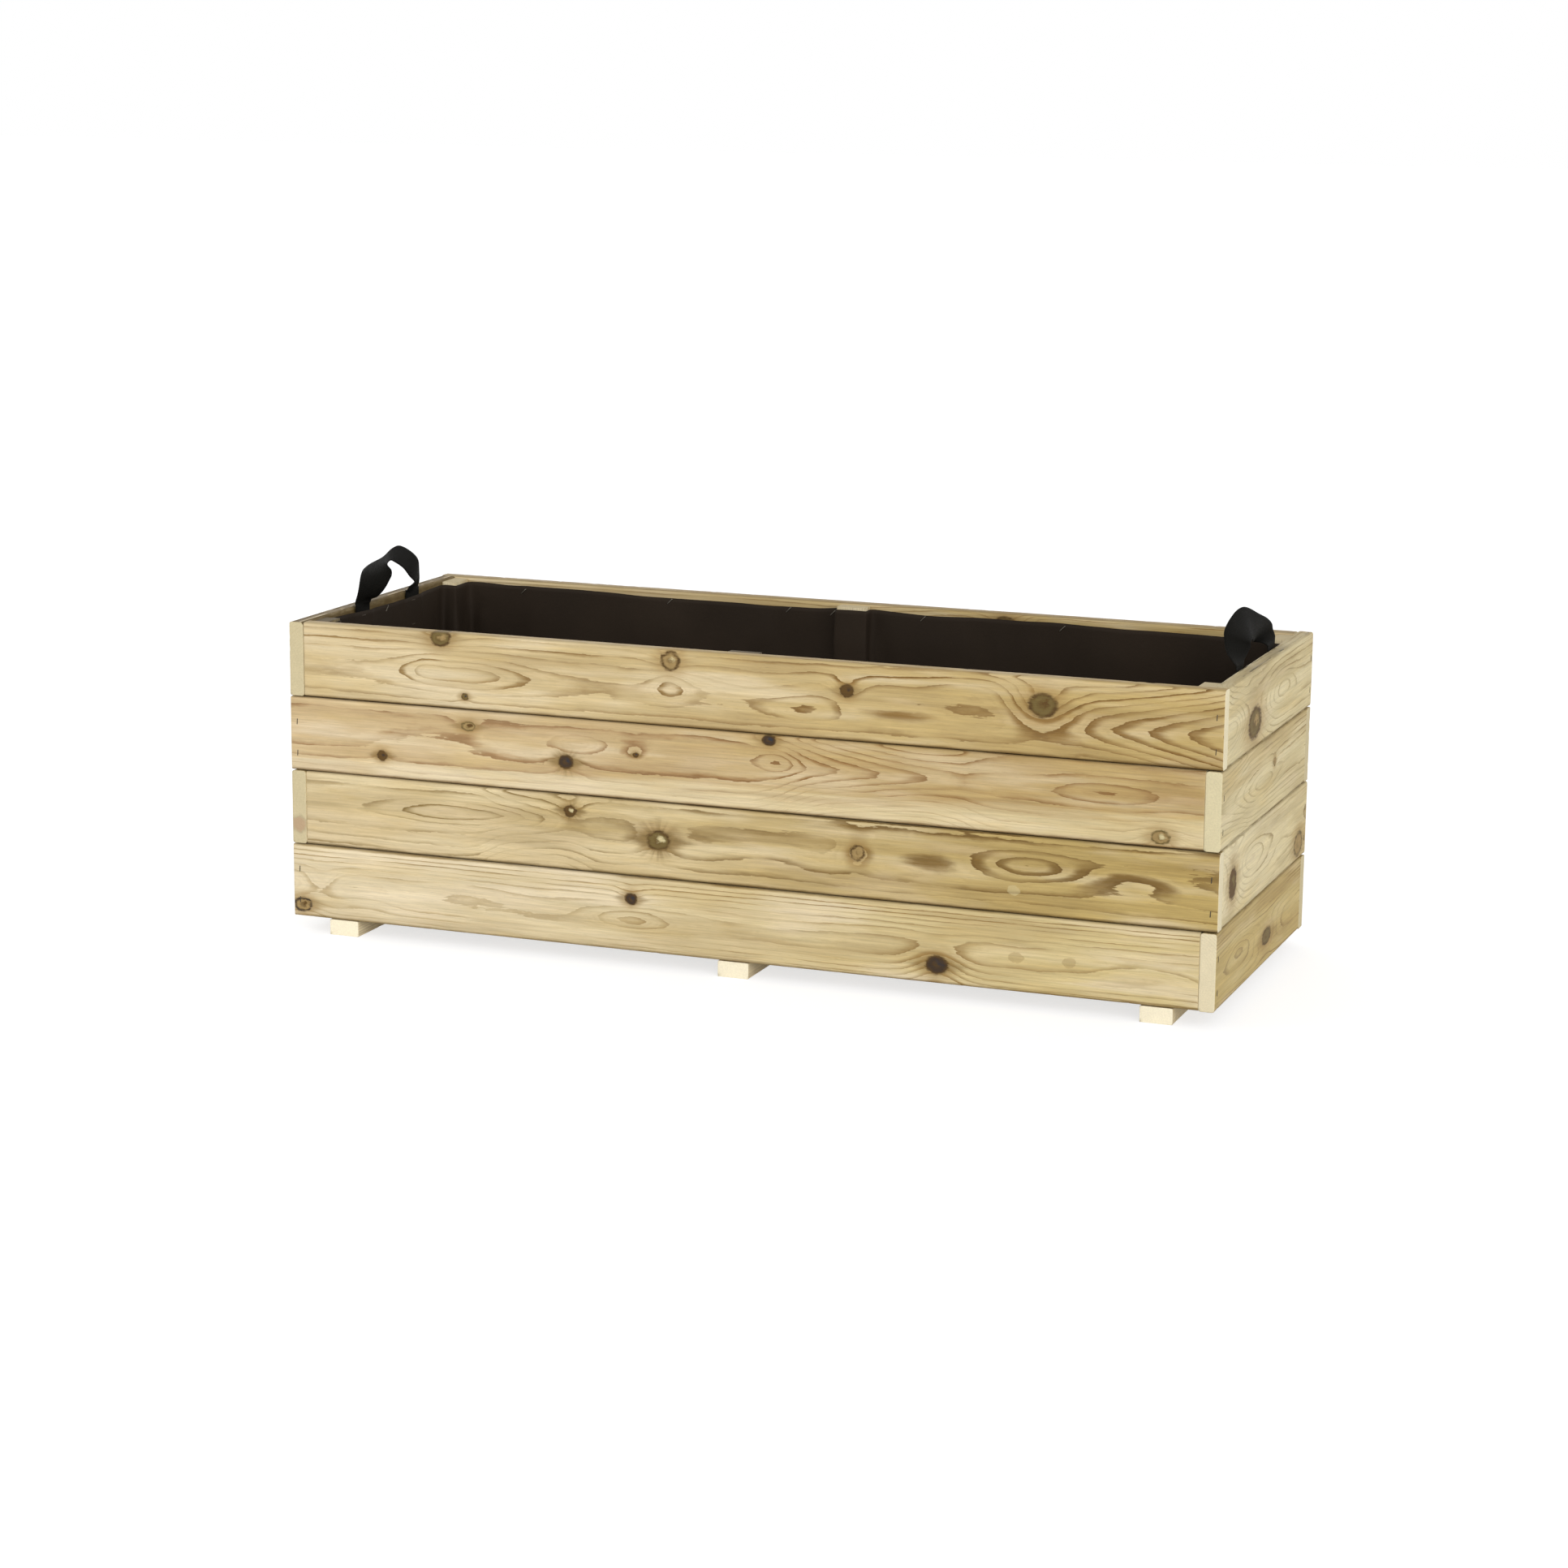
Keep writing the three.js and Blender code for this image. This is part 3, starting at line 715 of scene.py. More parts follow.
def wood(name, grain, axes, middle):
    """A board's own finish: the pine figure on its own rings, its knots, and its sawn ends."""
    finish, nodes = new_finish(name)
    place = nodes.add("ShaderNodeTexCoord")
    spot, normal = nodes.parts(Value(nodes, place.outputs["Object"])), Value(nodes, place.outputs["Normal"])
    point = nodes.joined(*((spot[a] - m) * (1 / MM) for a, m in zip(axes, middle)))
    end = abs(nodes.parts(normal)[axes[0]]).rise(0.55, 0.85)
    left, right, pale, ring = (paint(*c) for c in TONES[grain["tone"]])
    z_up, z_slope, z_tint, z_strength = grain["zone"]
    tints = {"Left Tint": left, "Right Tint": right, "Pale Tint": pale, "Ring Tint": ring}
    tints |= {"Sawn Tint": paint(*grain.get("sawn", SAWN)), "Zone Tint": paint(*z_tint)}
    numbers = {"Seed": grain["seed"], "Zone Up": z_up, "Zone Slope": z_slope, "Zone": z_strength}
    # Painted seam shade on the boards, none on the posts and runners
    numbers |= {"Lines": grain.get("lines", 1.0), "Dirt": 0.0 if grain["tone"] in NO_SEAM_SHADE_TONES else 1.0}
    figure = use_group(
        nodes, shared("pine figure", figure_group), {"Point": point, "End": end, **tints, **numbers}
    )
    colour, crack, ragged = figure["Wood"], None, figure["Ragged"]
    for k_along, k_up, half_length, half_height, heart, rim, eye, wing, _ in grain["knots"]:
        stains = {"Heart Tint": heart, "Rim Tint": rim, "Eye Tint": eye}
        stains = {name: paint(*KNOT_TINTS[tint]) for name, tint in stains.items()}
        sizes = {"Middle": (k_along, k_up, 0.0), "Size": (1 / half_length, 1 / half_height, 0.0)}
        sizes["Wing Size"] = (0.27 / half_length, 0.66 / half_height, 0.0)
        under = {"Wood": colour, "Point": point, "Ragged": ragged, "Flake": figure["Flake"]}
        shares = {"Wing": wing, "Heart": 0.0 if heart == rim == eye else 1.0}
        shares["Broken"] = 0.4 if heart == "plum" else min(1.0, 6.5 / half_length)
        knot = use_group(nodes, shared("knot", knot_group), {**under, **sizes, **shares, **stains})
        colour = knot["Wood"]
        crack = knot["Crack"] if crack is None else crack.most(knot["Crack"])
    sawn = figure["Sawn"]
    if "end_knot" in grain:
        k_up, k_depth, radius, tint = grain["end_knot"]
        near = nodes.vector("SUBTRACT", point, (0.0, k_up, k_depth))
        away = nodes.length(nodes.vector("MULTIPLY", near, (0.0, 1 / radius, 1 / radius)))
        away = away + (ragged - 0.5) * 0.6
        sawn = nodes.mix((1.0 - away.rise(0.6, 1.1)) * 0.6, sawn, paint(*tint))
        sawn = nodes.mix(away.bell(0.95, 0.3) * 0.5, sawn, nodes.shade(sawn, 0.72))
    colour = nodes.mix(end, nodes.shade(colour, figure["Light"]), sawn)
    # Faces that look the darkening way, straight up unless given, are darkened: the tops of the timbers, and
    # painted shade on the inside of the left wall's top board
    face_darkening = nodes.dot(normal, grain.get("darkening_way", (0.0, 0.0, 1.0))).rise(0.5, 0.9) * (0.55 + ragged * 0.9)
    darkening_tint = paint(*grain.get("darkening_tint", DARKENING_TINT))
    colour = nodes.mix((face_darkening * grain.get("face_darkening", 0.28)).clamped(), colour, darkening_tint)
    height = figure["Height"] if crack is None else figure["Height"] - crack * 1.2
    varying = {"Base Color": colour, "Roughness": figure["Rough"]}
    surface(nodes, {"Specular IOR Level": 0.30}, varying, height, 0.0004, 0.75)
    return finish


def timber_tree():
    """A straight timber as a closed grid, its long edges marked to be rounded in full, its ends a little."""
    tree, nodes, given = new_geometry_tree(
        "timber", Vector="Size, Middle, Run", Float="Step, Sawn Edge", Material="Finish"
    )
    counts = {}
    for axis, size in zip("XYZ", nodes.parts(given["Size"])):
        counts[f"Vertices {axis}"] = (size / given["Step"]).math("CEIL").most(2.0) + 1.0
    block = nodes.take("GeometryNodeMeshCube", {}, {"Size": given["Size"], **counts})
    placed = nodes.take("GeometryNodeTransform", {}, {"Geometry": block, "Translation": given["Middle"]})
    ends = nodes.add("GeometryNodeInputMeshEdgeVertices")
    first, last = (Value(nodes, ends.outputs[f"Position {end}"]) for end in (1, 2))
    way = nodes.vector("NORMALIZE", nodes.vector("SUBTRACT", last, first))
    corner = nodes.take("GeometryNodeInputMeshEdgeAngle").math("GREATER_THAN", 0.7)
    weight = corner * (given["Sawn Edge"] + abs(nodes.dot(way, given["Run"])) * (1.0 - given["Sawn Edge"]))
    marked = nodes.take(
        "GeometryNodeStoreNamedAttribute",
        {"data_type": "FLOAT", "domain": "EDGE"},
        {"Geometry": placed, "Name": "bevel_weight_edge", "Value": weight},
    )
    end_geometry_tree(nodes, marked, given["Finish"])
    return tree


def weather_tree():
    """A little bow along a timber, a wandering face and bruised edges."""
    tree, nodes, given = new_geometry_tree("weather", Float="Seed, Bow, Waver, Bruise", Material="Finish")
    place = nodes.take("GeometryNodeInputPosition")
    normal = nodes.take("GeometryNodeInputNormal")
    shift = nodes.joined(given["Seed"], given["Seed"] * 1.7, given["Seed"] * 2.3)

    def at(size, part, detail, output=0):
        """A noise whose patches are about size metres across."""
        start = nodes.vector("ADD", shift, (part, part, part))
        return nodes.noise(nodes.vector("MULTIPLY_ADD", place, (1 / size,) * 3, start), detail, 0.5, output)

    def scaled(vector, factor):
        return nodes.take("ShaderNodeVectorMath", {"operation": "SCALE"}, {0: vector, "Scale": factor})

    drift = nodes.vector("SUBTRACT", at(0.45, 0.0, 1.0, 1), (0.5, 0.5, 0.5))
    waver = (at(0.04, 7.0, 2.0) - 0.5) * given["Waver"] * 2.0
    bruise = at(0.0105, 13.0, 1.0).rise(0.60, 0.80) * given["Bruise"]
    offset = nodes.vector("ADD", scaled(drift, given["Bow"] * 2.0), scaled(normal, waver - bruise))
    moved = nodes.take("GeometryNodeSetPosition", {}, {"Geometry": given["Geometry"], "Offset": offset})
    end_geometry_tree(nodes, moved, given["Finish"])
    return tree


def build_timber(node, grain, slot, arris, trim, context, step=GRID):
    """One board, post or runner, in place of its frame node."""
    settings = context.scene.planter_timber
    low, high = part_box(node)
    size, middle = high - low, (high + low) / 2
    axis = max(range(3), key=lambda a: size[a])
    # The grain's own axes: along the timber, up its face, and into it
    across = {0: (0, 2, 1), 1: (1, 2, 0), 2: (2, 1, 0)}[axis]
    lies_flat = axis != 2 and size[2] < min(size[0], size[1]) + 1e-6
    if lies_flat:
        across = (across[0], across[2], across[1])
    sign = -1.0 if middle[across[2]] > 0 else 1.0
    face = middle[across[2]] - sign * size[across[2]] / 2
    heart = (0.0 if axis != 2 else middle[2], middle[across[1]], face)
    finish = wood(node.replace("_", " "), grain, across, heart)
    size = Vector([s - (trim if a == 2 and axis != 2 else 0.0) for a, s in enumerate(size)])
    run = [1.0 if a == axis else 0.0 for a in range(3)]
    block = {"Size": size, "Middle": middle, "Run": run, "Step": step * MM, "Sawn Edge": SAWN_EDGE}
    wear = {"Seed": grain["seed"], "Bow": settings.bow, "Waver": settings.waver, "Bruise": settings.bruise}

    piece = new_piece(f"wood_{node}")
    use_tree(piece, shared("timber", timber_tree), {**block, "Finish": finish})
    bevel = piece.modifiers.new("eased edges", "BEVEL")
    bevel.width, bevel.segments, bevel.limit_method = arris, 3, "WEIGHT"
    use_tree(piece, shared("weather", weather_tree), {**wear, "Finish": finish})
    settle(piece)

    spots = points_of(piece.data)
    along, up, depth = ((spots[:, a] - m / MM) for a, m in zip(across, heart))
    rings = ring_count(along, up, depth * sign, grain) + FIRST_RING
    fields = {"rings": rings, "bold": boldness(along, up, grain)}
    for name, field in fields.items():
        attribute = piece.data.attributes.new(name, "FLOAT", "POINT")
        attribute.data.foreach_set("value", field.astype(np.float32))
    finish_piece(piece, slot, node)


# Liner

# Its upper edge, its distance from the walls, and the spacing of its points
LINER_TOP, LINER_GAP, PLAN_STEP = 392.0, 1.0, 7.0
WALL_ROWS, COVE_ROWS, FLOOR_ROWS = 36, 5, 20

# The rounding between wall and floor, half the line along the floor where the last row meets, and the height
# above which the cloth passes over the straps' tails
COVE, FLOOR_SEAM, STRAP_BOTTOM = 12.0, 390, 312

# The cloth passes over a strap up to STRAP_REACH from its middle, easing off over the last STRAP_EASE,
# and lies STRAP_LIFT further inwards there
STRAP_REACH, STRAP_EASE, STRAP_LIFT = 36, 14, 2.75


def liner_corners(gap):
    """The inside of the walls and posts as corners, anticlockwise, each moved inwards by gap."""
    post_x, post_y, beside = WALL_X - BATTEN_DEEP, WALL_Y - BATTEN_DEEP, WALL_Y - BATTEN_WIDE
    half = BATTEN_WIDE // 2
    right = [(half, -post_y), (half, -WALL_Y), (post_x, -WALL_Y), (post_x, -beside), (WALL_X, -beside),
             (WALL_X, beside), (post_x, beside), (post_x, WALL_Y), (half, WALL_Y), (half, post_y)]
    ring = right + [(-x, -y) for x, y in right]
    moved, turns = [], []
    for before, here, after in zip(ring[-1:] + ring[:-1], ring, ring[1:] + ring[:1]):
        one = np.subtract(here, before) / np.linalg.norm(np.subtract(here, before))
        two = np.subtract(after, here) / np.linalg.norm(np.subtract(after, here))
        inward = np.array([-one[1] - two[1], one[0] + two[0]])
        moved.append(np.array(here, float) + gap * inward)
        turns.append(one[0] * two[1] - one[1] * two[0])
    return moved, turns


def liner_outline(gap, spacing):
    """The liner's plan as close points, with rounded corners."""
    corners, turns = liner_corners(gap)
    path = []
    for i, (here, turn) in enumerate(zip(corners, turns)):
        before, after = corners[i - 1], corners[(i + 1) % len(corners)]
        radius, points = (9.0, 5) if turn > 0 else (2.2, 4)
        one = (before - here) / np.linalg.norm(before - here)
        two = (after - here) / np.linalg.norm(after - here)
        path += [here + radius * (one * (1 - t) ** 2 + two * t**2) for t in np.linspace(0, 1, points)]
    full = []
    for here, after in zip(path, path[1:] + path[:1]):
        on_end = min(abs(here[0]), abs(after[0])) > WALL_X - 10
        steps = max(1, int(np.linalg.norm(after - here) / (spacing * (0.6 if on_end else 1.0))))
        full += [here + (after - here) * k / steps for k in range(steps)]
    return np.array(full)


def ripples(u, v, seed, length, count=14):
    """A smooth wandering value from about -1 to 1, with waves near one length."""
    chance = np.random.default_rng(seed)
    total = np.zeros_like(u)
    for _ in range(count):
        angle, phase = chance.uniform(0, 2 * math.pi, 2)
        k = 2 * math.pi / (length * chance.uniform(0.7, 1.6))
        total += np.sin(k * (u * math.cos(angle) + v * math.sin(angle)) + phase)
    return total / math.sqrt(count) / 1.3


def puffs(u, v, seed, length):
    """Only the crests of such ripples, from 0 to 1."""
    return np.clip(ripples(u, v, seed, length), 0, 1)


def under_straps(plan):
    """1 where the cloth passes over a handle's tail, easing to 0 beside it."""
    strap = np.zeros(len(plan))
    for side, loop in ((-1, LEFT_LOOP), (1, RIGHT_LOOP)):
        for end in (0, -1):
            off = np.abs(plan[:, 1] - loop[end][1]) + np.where(side * plan[:, 0] > WALL_X - 10, 0, 1000)
            strap = np.maximum(strap, np.clip((STRAP_REACH - off) / STRAP_EASE, 0, 1))
    return strap * strap * (3 - 2 * strap)


def near_posts(plan):
    """1 at a post, falling away over a few centimetres."""
    post_x, post_y = WALL_X - BATTEN_DEEP, WALL_Y - 15
    posts = [(x, y) for x in (-post_x, 0, post_x) for y in (-post_y, post_y)]
    away = np.minimum.reduce([np.hypot(plan[:, 0] - x, plan[:, 1] - y) for x, y in posts])
    return np.exp(-((away / 55) ** 2))


def liner_rows(slack):
    """The liner's points in millimetres, row after row: down the walls, round the cove, over the floor."""
    plan = liner_outline(LINER_GAP, PLAN_STEP)
    after = np.roll(plan, -1, 0)
    steps = np.linalg.norm(after - plan, axis=1)
    run = np.concatenate([[0], np.cumsum(steps)[:-1]])
    tangent = unit_rows(after - np.roll(plan, 1, 0))
    inward = np.stack([-tangent[:, 1], tangent[:, 0]], 1)
    seam = np.stack([np.clip(plan[:, 0], -FLOOR_SEAM, FLOOR_SEAM), plan[:, 1] * 0.0], 1)
    towards = unit_rows(seam - plan)
    strap, by_post = under_straps(plan), near_posts(plan)

    # The liner's edge wanders, and sags along the back wall towards its right end
    top = LINER_TOP - 1.2 + 1.6 * ripples(run, run * 0, 5, 260) + 0.5 * ripples(run, run * 0, 6, 60)
    on_back = (plan[:, 1] > WALL_Y - 10) & (plan[:, 0] > 40)
    top -= np.where(on_back, 5.0 * np.clip((plan[:, 0] - 300) / 260, 0, 1), 0)
    top = np.clip(top, 383.0, 392.5) + 3.2 * by_post

    rows = []
    for j in range(WALL_ROWS):
        t = (j / (WALL_ROWS - 1)) ** 1.15
        z = top + (FLOOR_TOP + LINER_GAP + COVE - top) * t
        down = np.clip((top - z) / 40, 0, 1)
        loose = down * np.clip((z - 50) / 60, 0.25, 1)
        fold = 0.75 * np.clip(0.5 + 0.5 * ripples(run, z * 0.25, 11, 85), 0, 1.2)
        crease = 0.5 * np.clip(ripples(run, z * 0.12, 12, 36) - 0.35, 0, 1)
        tuck = by_post * 0.9 * puffs(run, z * 0.2, 13, 30)
        bulge = slack * loose * (fold + crease + tuck)
        bulge += 0.5 * (1 - down) * puffs(run, z * 0, 14, 42)
        over = strap * np.clip((z - STRAP_BOTTOM) / STRAP_EASE, 0, 1)
        bulge = bulge * (1 - over) + over * (STRAP_LIFT + 0.4 * np.clip(bulge, 0, 1))
        rows.append(np.column_stack([plan + inward * bulge[:, None], z]))
    base = rows[-1]
    for j in range(1, COVE_ROWS + 1):
        a = math.pi / 2 * j / COVE_ROWS
        spot = base[:, :2] + towards * (COVE * (1 - math.cos(a)))
        rows.append(np.column_stack([spot, base[:, 2] - COVE * math.sin(a)]))
    start = rows[-1][:, :2]
    for j in range(1, FLOOR_ROWS + 1):
        t = j / FLOOR_ROWS
        spot = start + (seam - start) * t
        u, v = spot[:, 0], spot[:, 1]
        lift = puffs(u, v, 21, 120) * 2.2 + np.clip(ripples(u, v, 22, 45) - 0.3, 0, 1) * 1.6
        rows.append(np.column_stack([spot, FLOOR_TOP + LINER_GAP + lift * min(1.0, 5 * t)]))
    return rows


def build_liner(context):
    """The liner as one loose bag of cloth: up the walls and round the posts, and over the floor."""
    settings = context.scene.planter_liner
    rows = liner_rows(settings.slack / MM)
    piece = new_piece("liner_cloth", np.concatenate(rows) * MM, tube_faces(len(rows), len(rows[0])))

    # The last row lies on one line along the middle of the floor, where points that meet become one
    work = bmesh.new()
    work.from_mesh(piece.data)
    bmesh.ops.remove_doubles(work, verts=work.verts, dist=0.0004)
    bmesh.ops.dissolve_degenerate(work, edges=work.edges, dist=0.0001)
    floor = [f for f in work.faces if f.calc_center_median().z < (FLOOR_TOP + 5) * MM]
    if sum(f.normal.z for f in floor) < 0:
        bmesh.ops.reverse_faces(work, faces=work.faces)
    work.to_mesh(piece.data)
    work.free()
    piece.data.shade_smooth()
    solid = piece.modifiers.new("cloth thickness", "SOLIDIFY")
    solid.thickness, solid.offset = settings.thickness, 0.0
    piece.data.materials.append(liner_finish(settings))
    finish_piece(piece, "liner_fabric", "liner")


def liner_finish(settings):
    """Near-black brown cloth, pressed from fibres, with soft rubbed patches."""
    finish, nodes = new_finish("liner cloth")
    point = nodes.take("ShaderNodeTexCoord", {}, {}, "Object")
    cloud = nodes.speckle(point, 9.0, 3.0)
    felt = nodes.speckle(point, 900.0, 3.0, 0.7)
    hair = nodes.speckle(point, (260.0, 260.0, 1500.0), 2.0, 0.6)
    dark = tuple(settings.colour)
    colour = nodes.mix(cloud.rise(0.35, 0.7) * 0.5, dark, times(dark, 1.55))
    colour = nodes.shade(colour, 0.82 + felt * 0.26 + hair * 0.12)
    varying = {"Base Color": colour, "Roughness": 0.62 + cloud * 0.14}
    surface(nodes, {"Specular IOR Level": 0.12}, varying, felt * 0.6 + hair * 0.5 + cloud * 2.0, 0.0004, 0.7)
    return finish


# Handles

FOLD_RISE = 1.2
FOLD_X, FOLD_Z = WALL_X - 2.5, HEIGHT + FOLD_RISE
TAIL_LENGTH = 70.0
LANES = 15

# Each row is the middle of the strap, in millimetres inwards from the fold, along the wall and up,
# then its direction across.
LEFT_LOOP = [
    (0, -70, 0, 0, 1, 0), (1.5, -69.6, 5, 3, 37, -3), (6, -68, 11, 9, 36, -9), (9, -65, 18.5, 16, 33, -12),
    (10.5, -60.5, 26, 23, 28, -12), (10.4, -52, 34.5, 31, 19, -8), (9, -39, 42, 36, -4, -4),
    (8, -22, 49.5, 23, -30, -4), (6, 0, 55, 15, -34, -11), (4, 21, 53, 9, -33, -17),
    (3.5, 49, 42, 6, -33, -18), (5, 66, 29, 4, -33, -18), (6, 73.5, 16, 11, -34, -11),
    (2.5, 72, 6, 4, -37, -3), (0, 71, 0, 0, -1, 0),
]
RIGHT_LOOP = [
    (0, -68, 0, 0, 1, 0), (0.2, -67.8, 3.5, -1, 36, 0), (2.6, -64.6, 8.5, -8, 36, -1),
    (6, -58, 15, -18, 33, -4), (8, -50, 24, -26, 27, -9), (9, -47, 32, -27, 22, -16),
    (8, -32, 39, -22, 12, -24), (7, -6, 43, -13, -8, -32), (5, 28, 31, 1, -20, -31),
    (6, 57, 25, 10, -30, -24), (8, 79, 18, 16, -34, -20), (9, 86.5, 12.5, 16, -34, -12),
    (4, 90.5, 7.5, 8, -35, -3), (0.4, 90.4, 3, 1, -36, 0), (0, 90, 0, 0, -1, 0),
]


def eased_path(rows, steps):
    """Points on the smooth curve that passes through every row."""
    rows = np.array(rows, float)
    padded = np.vstack([2 * rows[0] - rows[1], rows, 2 * rows[-1] - rows[-2]])
    out = []
    for i in range(1, len(padded) - 2):
        a, b, c, d = padded[i - 1 : i + 3]
        bend, twist = 2 * a - 5 * b + 4 * c - d, 3 * b - a - 3 * c + d
        for t in np.linspace(0, 1, steps, endpoint=False):
            out.append(0.5 * (2 * b + (c - a) * t + bend * t**2 + twist * t**3))
    out.append(rows[-1])
    return np.array(out)


def strap_line(loop, side):
    """Middle and across direction of one strap, from the foot of one tail to the foot of the other."""
    middle, across = [], []
    for inwards, y, up, ax, ay, az in eased_path(loop, 9):
        middle.append((side * (FOLD_X - inwards), y, FOLD_Z + up))
        across.append((-side * ax, ay, az))
    tail = np.linspace(TAIL_LENGTH, 0.0, 15)[:-1]
    before = [(side * FOLD_X, loop[0][1], FOLD_Z - FOLD_RISE - t) for t in tail]
    after = [(side * FOLD_X, loop[-1][1], FOLD_Z - FOLD_RISE - t) for t in tail[::-1]]
    middle = np.array(before + middle + after)
    across = np.array([(0, 1, 0)] * len(before) + across + [(0, -1, 0)] * len(after), float)
    return middle, unit_rows(across)


def build_handle(name, side, loop, context):
    """One handle: a single length of webbing, its tails against the end wall, its loop above the rim."""
    settings = context.scene.planter_handles
    middle, across = strap_line(loop, side)
    tangent = unit_rows(np.gradient(middle, axis=0))
    thick = unit_rows(np.cross(tangent, across))
    half, depth = settings.width / MM / 2, settings.thickness / MM / 2

    # The section is a flat band with full, rounded selvedges
    lanes = np.concatenate([np.linspace(-1, 1, LANES), np.linspace(1, -1, LANES)])
    swell = np.where(np.abs(lanes) > 0.999, 0.35, np.where(np.abs(lanes) > 0.84, 1.0, 0.86))
    sides = np.repeat([1.0, -1.0], LANES)
    points = (
        middle[:, None]
        + across[:, None] * (lanes * half)[None, :, None]
        + thick[:, None] * (sides * swell * depth)[None, :, None]
    )
    rows, cols = points.shape[:2]
    ends = [tuple(range(cols))[::-1], tuple((rows - 1) * cols + i for i in range(cols))]
    piece = new_piece(f"{name}_webbing", points.reshape(-1, 3) * MM, tube_faces(rows, cols) + ends)
    mesh = piece.data
    length = np.concatenate([[0], np.cumsum(np.linalg.norm(np.diff(middle, axis=0), axis=1))])
    weave = mesh.uv_layers.new(name="weave")
    for corner, uv in zip(mesh.loops, weave.data):
        j, i = divmod(corner.vertex_index, cols)
        uv.uv = (length[j] * MM, lanes[i] * half * MM)

    work = bmesh.new()
    work.from_mesh(mesh)
    if work.calc_volume(signed=True) < 0:
        bmesh.ops.reverse_faces(work, faces=work.faces)
    work.to_mesh(mesh)
    work.free()
    mesh.shade_smooth()
    mesh.materials.append(bpy.data.materials.get("black webbing") or webbing_finish(settings))
    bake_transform(piece)
    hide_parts(f"{name}_handle_loop", f"{name}_handle_tail_front", f"{name}_handle_tail_back")


def webbing_finish(settings):
    """Black woven polyester tape: slanting ribs, rolled selvedges, a faint grey bloom on the worn threads."""
    finish, nodes = new_finish("black webbing")
    u, v, _ = nodes.parts(nodes.take("ShaderNodeUVMap", {"uv_map": "weave"}))
    along, across = u * (1 / MM), v * (1 / MM)
    lane = (across * (2 * math.pi / 2.1)).sine()
    rib = (along * (2 * math.pi / 1.5) + (across * (2 * math.pi / 4.2)).sine() * 1.3).sine()
    thread = rib * 0.5 + 0.5
    gap = lane * 0.5 + 0.5
    point = nodes.take("ShaderNodeTexCoord", {}, {}, "Object")
    fluff = nodes.speckle(point, 1400.0, 2.0, 0.6)
    worn = nodes.speckle(point, 60.0, 3.0)
    selvedge = abs(across).rise(15.6, 17.4)
    dark = tuple(settings.colour)
    colour = nodes.mix(thread * 0.5 * (1.0 - selvedge * 0.5), dark, times(dark, 2.2))
    colour = nodes.mix(worn.rise(0.5, 0.75) * 0.3, colour, times(dark, 2.8))
    colour = nodes.shade(colour, 0.78 + gap * 0.24 + fluff * 0.2)
    varying = {"Base Color": colour, "Roughness": 0.62 + fluff * 0.15}
    height = thread * 0.7 + gap * 0.5 + fluff * 0.3 + selvedge * 0.6
    surface(nodes, {"Specular IOR Level": 0.08}, varying, height, 0.0005, 0.9)
    return finish


# Staples

# How far a crown stands off the wall's inside: over a strap and the liner, or over the liner alone
STRAP_CROWN, LINER_CROWN = 4.2, 1.9

# The lap staples are stouter. Each sits LAP_INSET in from the end of the board that runs past and is sunk
# by LAP_SINK, one of a pair above the middle of the board and one below it.
LAP_CROWN, LAP_LEG, LAP_WIRE = 8.0, 14.0, 1.3
LAP_INSET, LAP_SINK = 9, 0.15
LAP_DROPS = (15.0, -25.0)


def staple_tree():
    """A U of round wire on every point: the crown along the point's x, the legs down its z."""
    tree, nodes, given = new_geometry_tree("staples", Float="Crown, Leg, Wire", Material="Finish")
    line = nodes.take("GeometryNodeMeshLine", {}, {"Count": 4})
    index = nodes.take("GeometryNodeInputIndex")
    side = index.math("GREATER_THAN", 1.5) * 2.0 - 1.0
    foot = abs(index - 1.5).math("GREATER_THAN", 1.0)
    corner = nodes.joined(side * given["Crown"] * 0.5, 0.0, foot * given["Leg"] * -1.0)
    bent = nodes.take("GeometryNodeSetPosition", {}, {"Geometry": line, "Position": corner})
    curve = nodes.take("GeometryNodeMeshToCurve", {}, [bent])
    fillet = {"Curve": curve, "Count": 3, "Radius": given["Wire"]}
    curve = nodes.take("GeometryNodeFilletCurve", {"mode": "POLY"}, fillet)
    section = {"Resolution": 8, "Radius": given["Wire"] * 0.5}
    ring = nodes.take("GeometryNodeCurvePrimitiveCircle", {}, section)
    swept = {"Curve": curve, "Profile Curve": ring, "Fill Caps": True}
    wire = nodes.take("GeometryNodeCurveToMesh", {}, swept)
    turn = nodes.take("GeometryNodeInputNamedAttribute", {"data_type": "FLOAT_VECTOR"}, {"Name": "turn"})
    turned = nodes.take("FunctionNodeEulerToRotation", {}, [turn])
    spread = {"Points": given["Geometry"], "Instance": wire, "Rotation": turned}
    placed = nodes.take("GeometryNodeInstanceOnPoints", {}, spread)
    end_geometry_tree(nodes, placed, given["Finish"])
    return tree


def build_staples(name, spots, finish, sizes, nodes_replaced=()):
    """Staples of one crown, leg and wire at spots: (place in mm, outward direction, crown direction)."""
    piece = new_piece(name, [np.array(place) * MM for place, _, _ in spots])
    turn = piece.data.attributes.new("turn", "FLOAT_VECTOR", "POINT")
    for i, (_, outward, crown_way) in enumerate(spots):
        z = Vector(outward).normalized()
        x = Vector(crown_way)
        x = (x - z * x.dot(z)).normalized()
        turn.data[i].vector = Matrix((x, z.cross(x), z)).transposed().to_euler()
    crown, leg, wire = (size * MM for size in sizes)
    values = {"Crown": crown, "Leg": leg, "Wire": wire, "Finish": finish}
    use_tree(piece, shared("staples", staple_tree), values)
    settle(piece)
    finish_piece(piece, "staple_wire", *nodes_replaced)


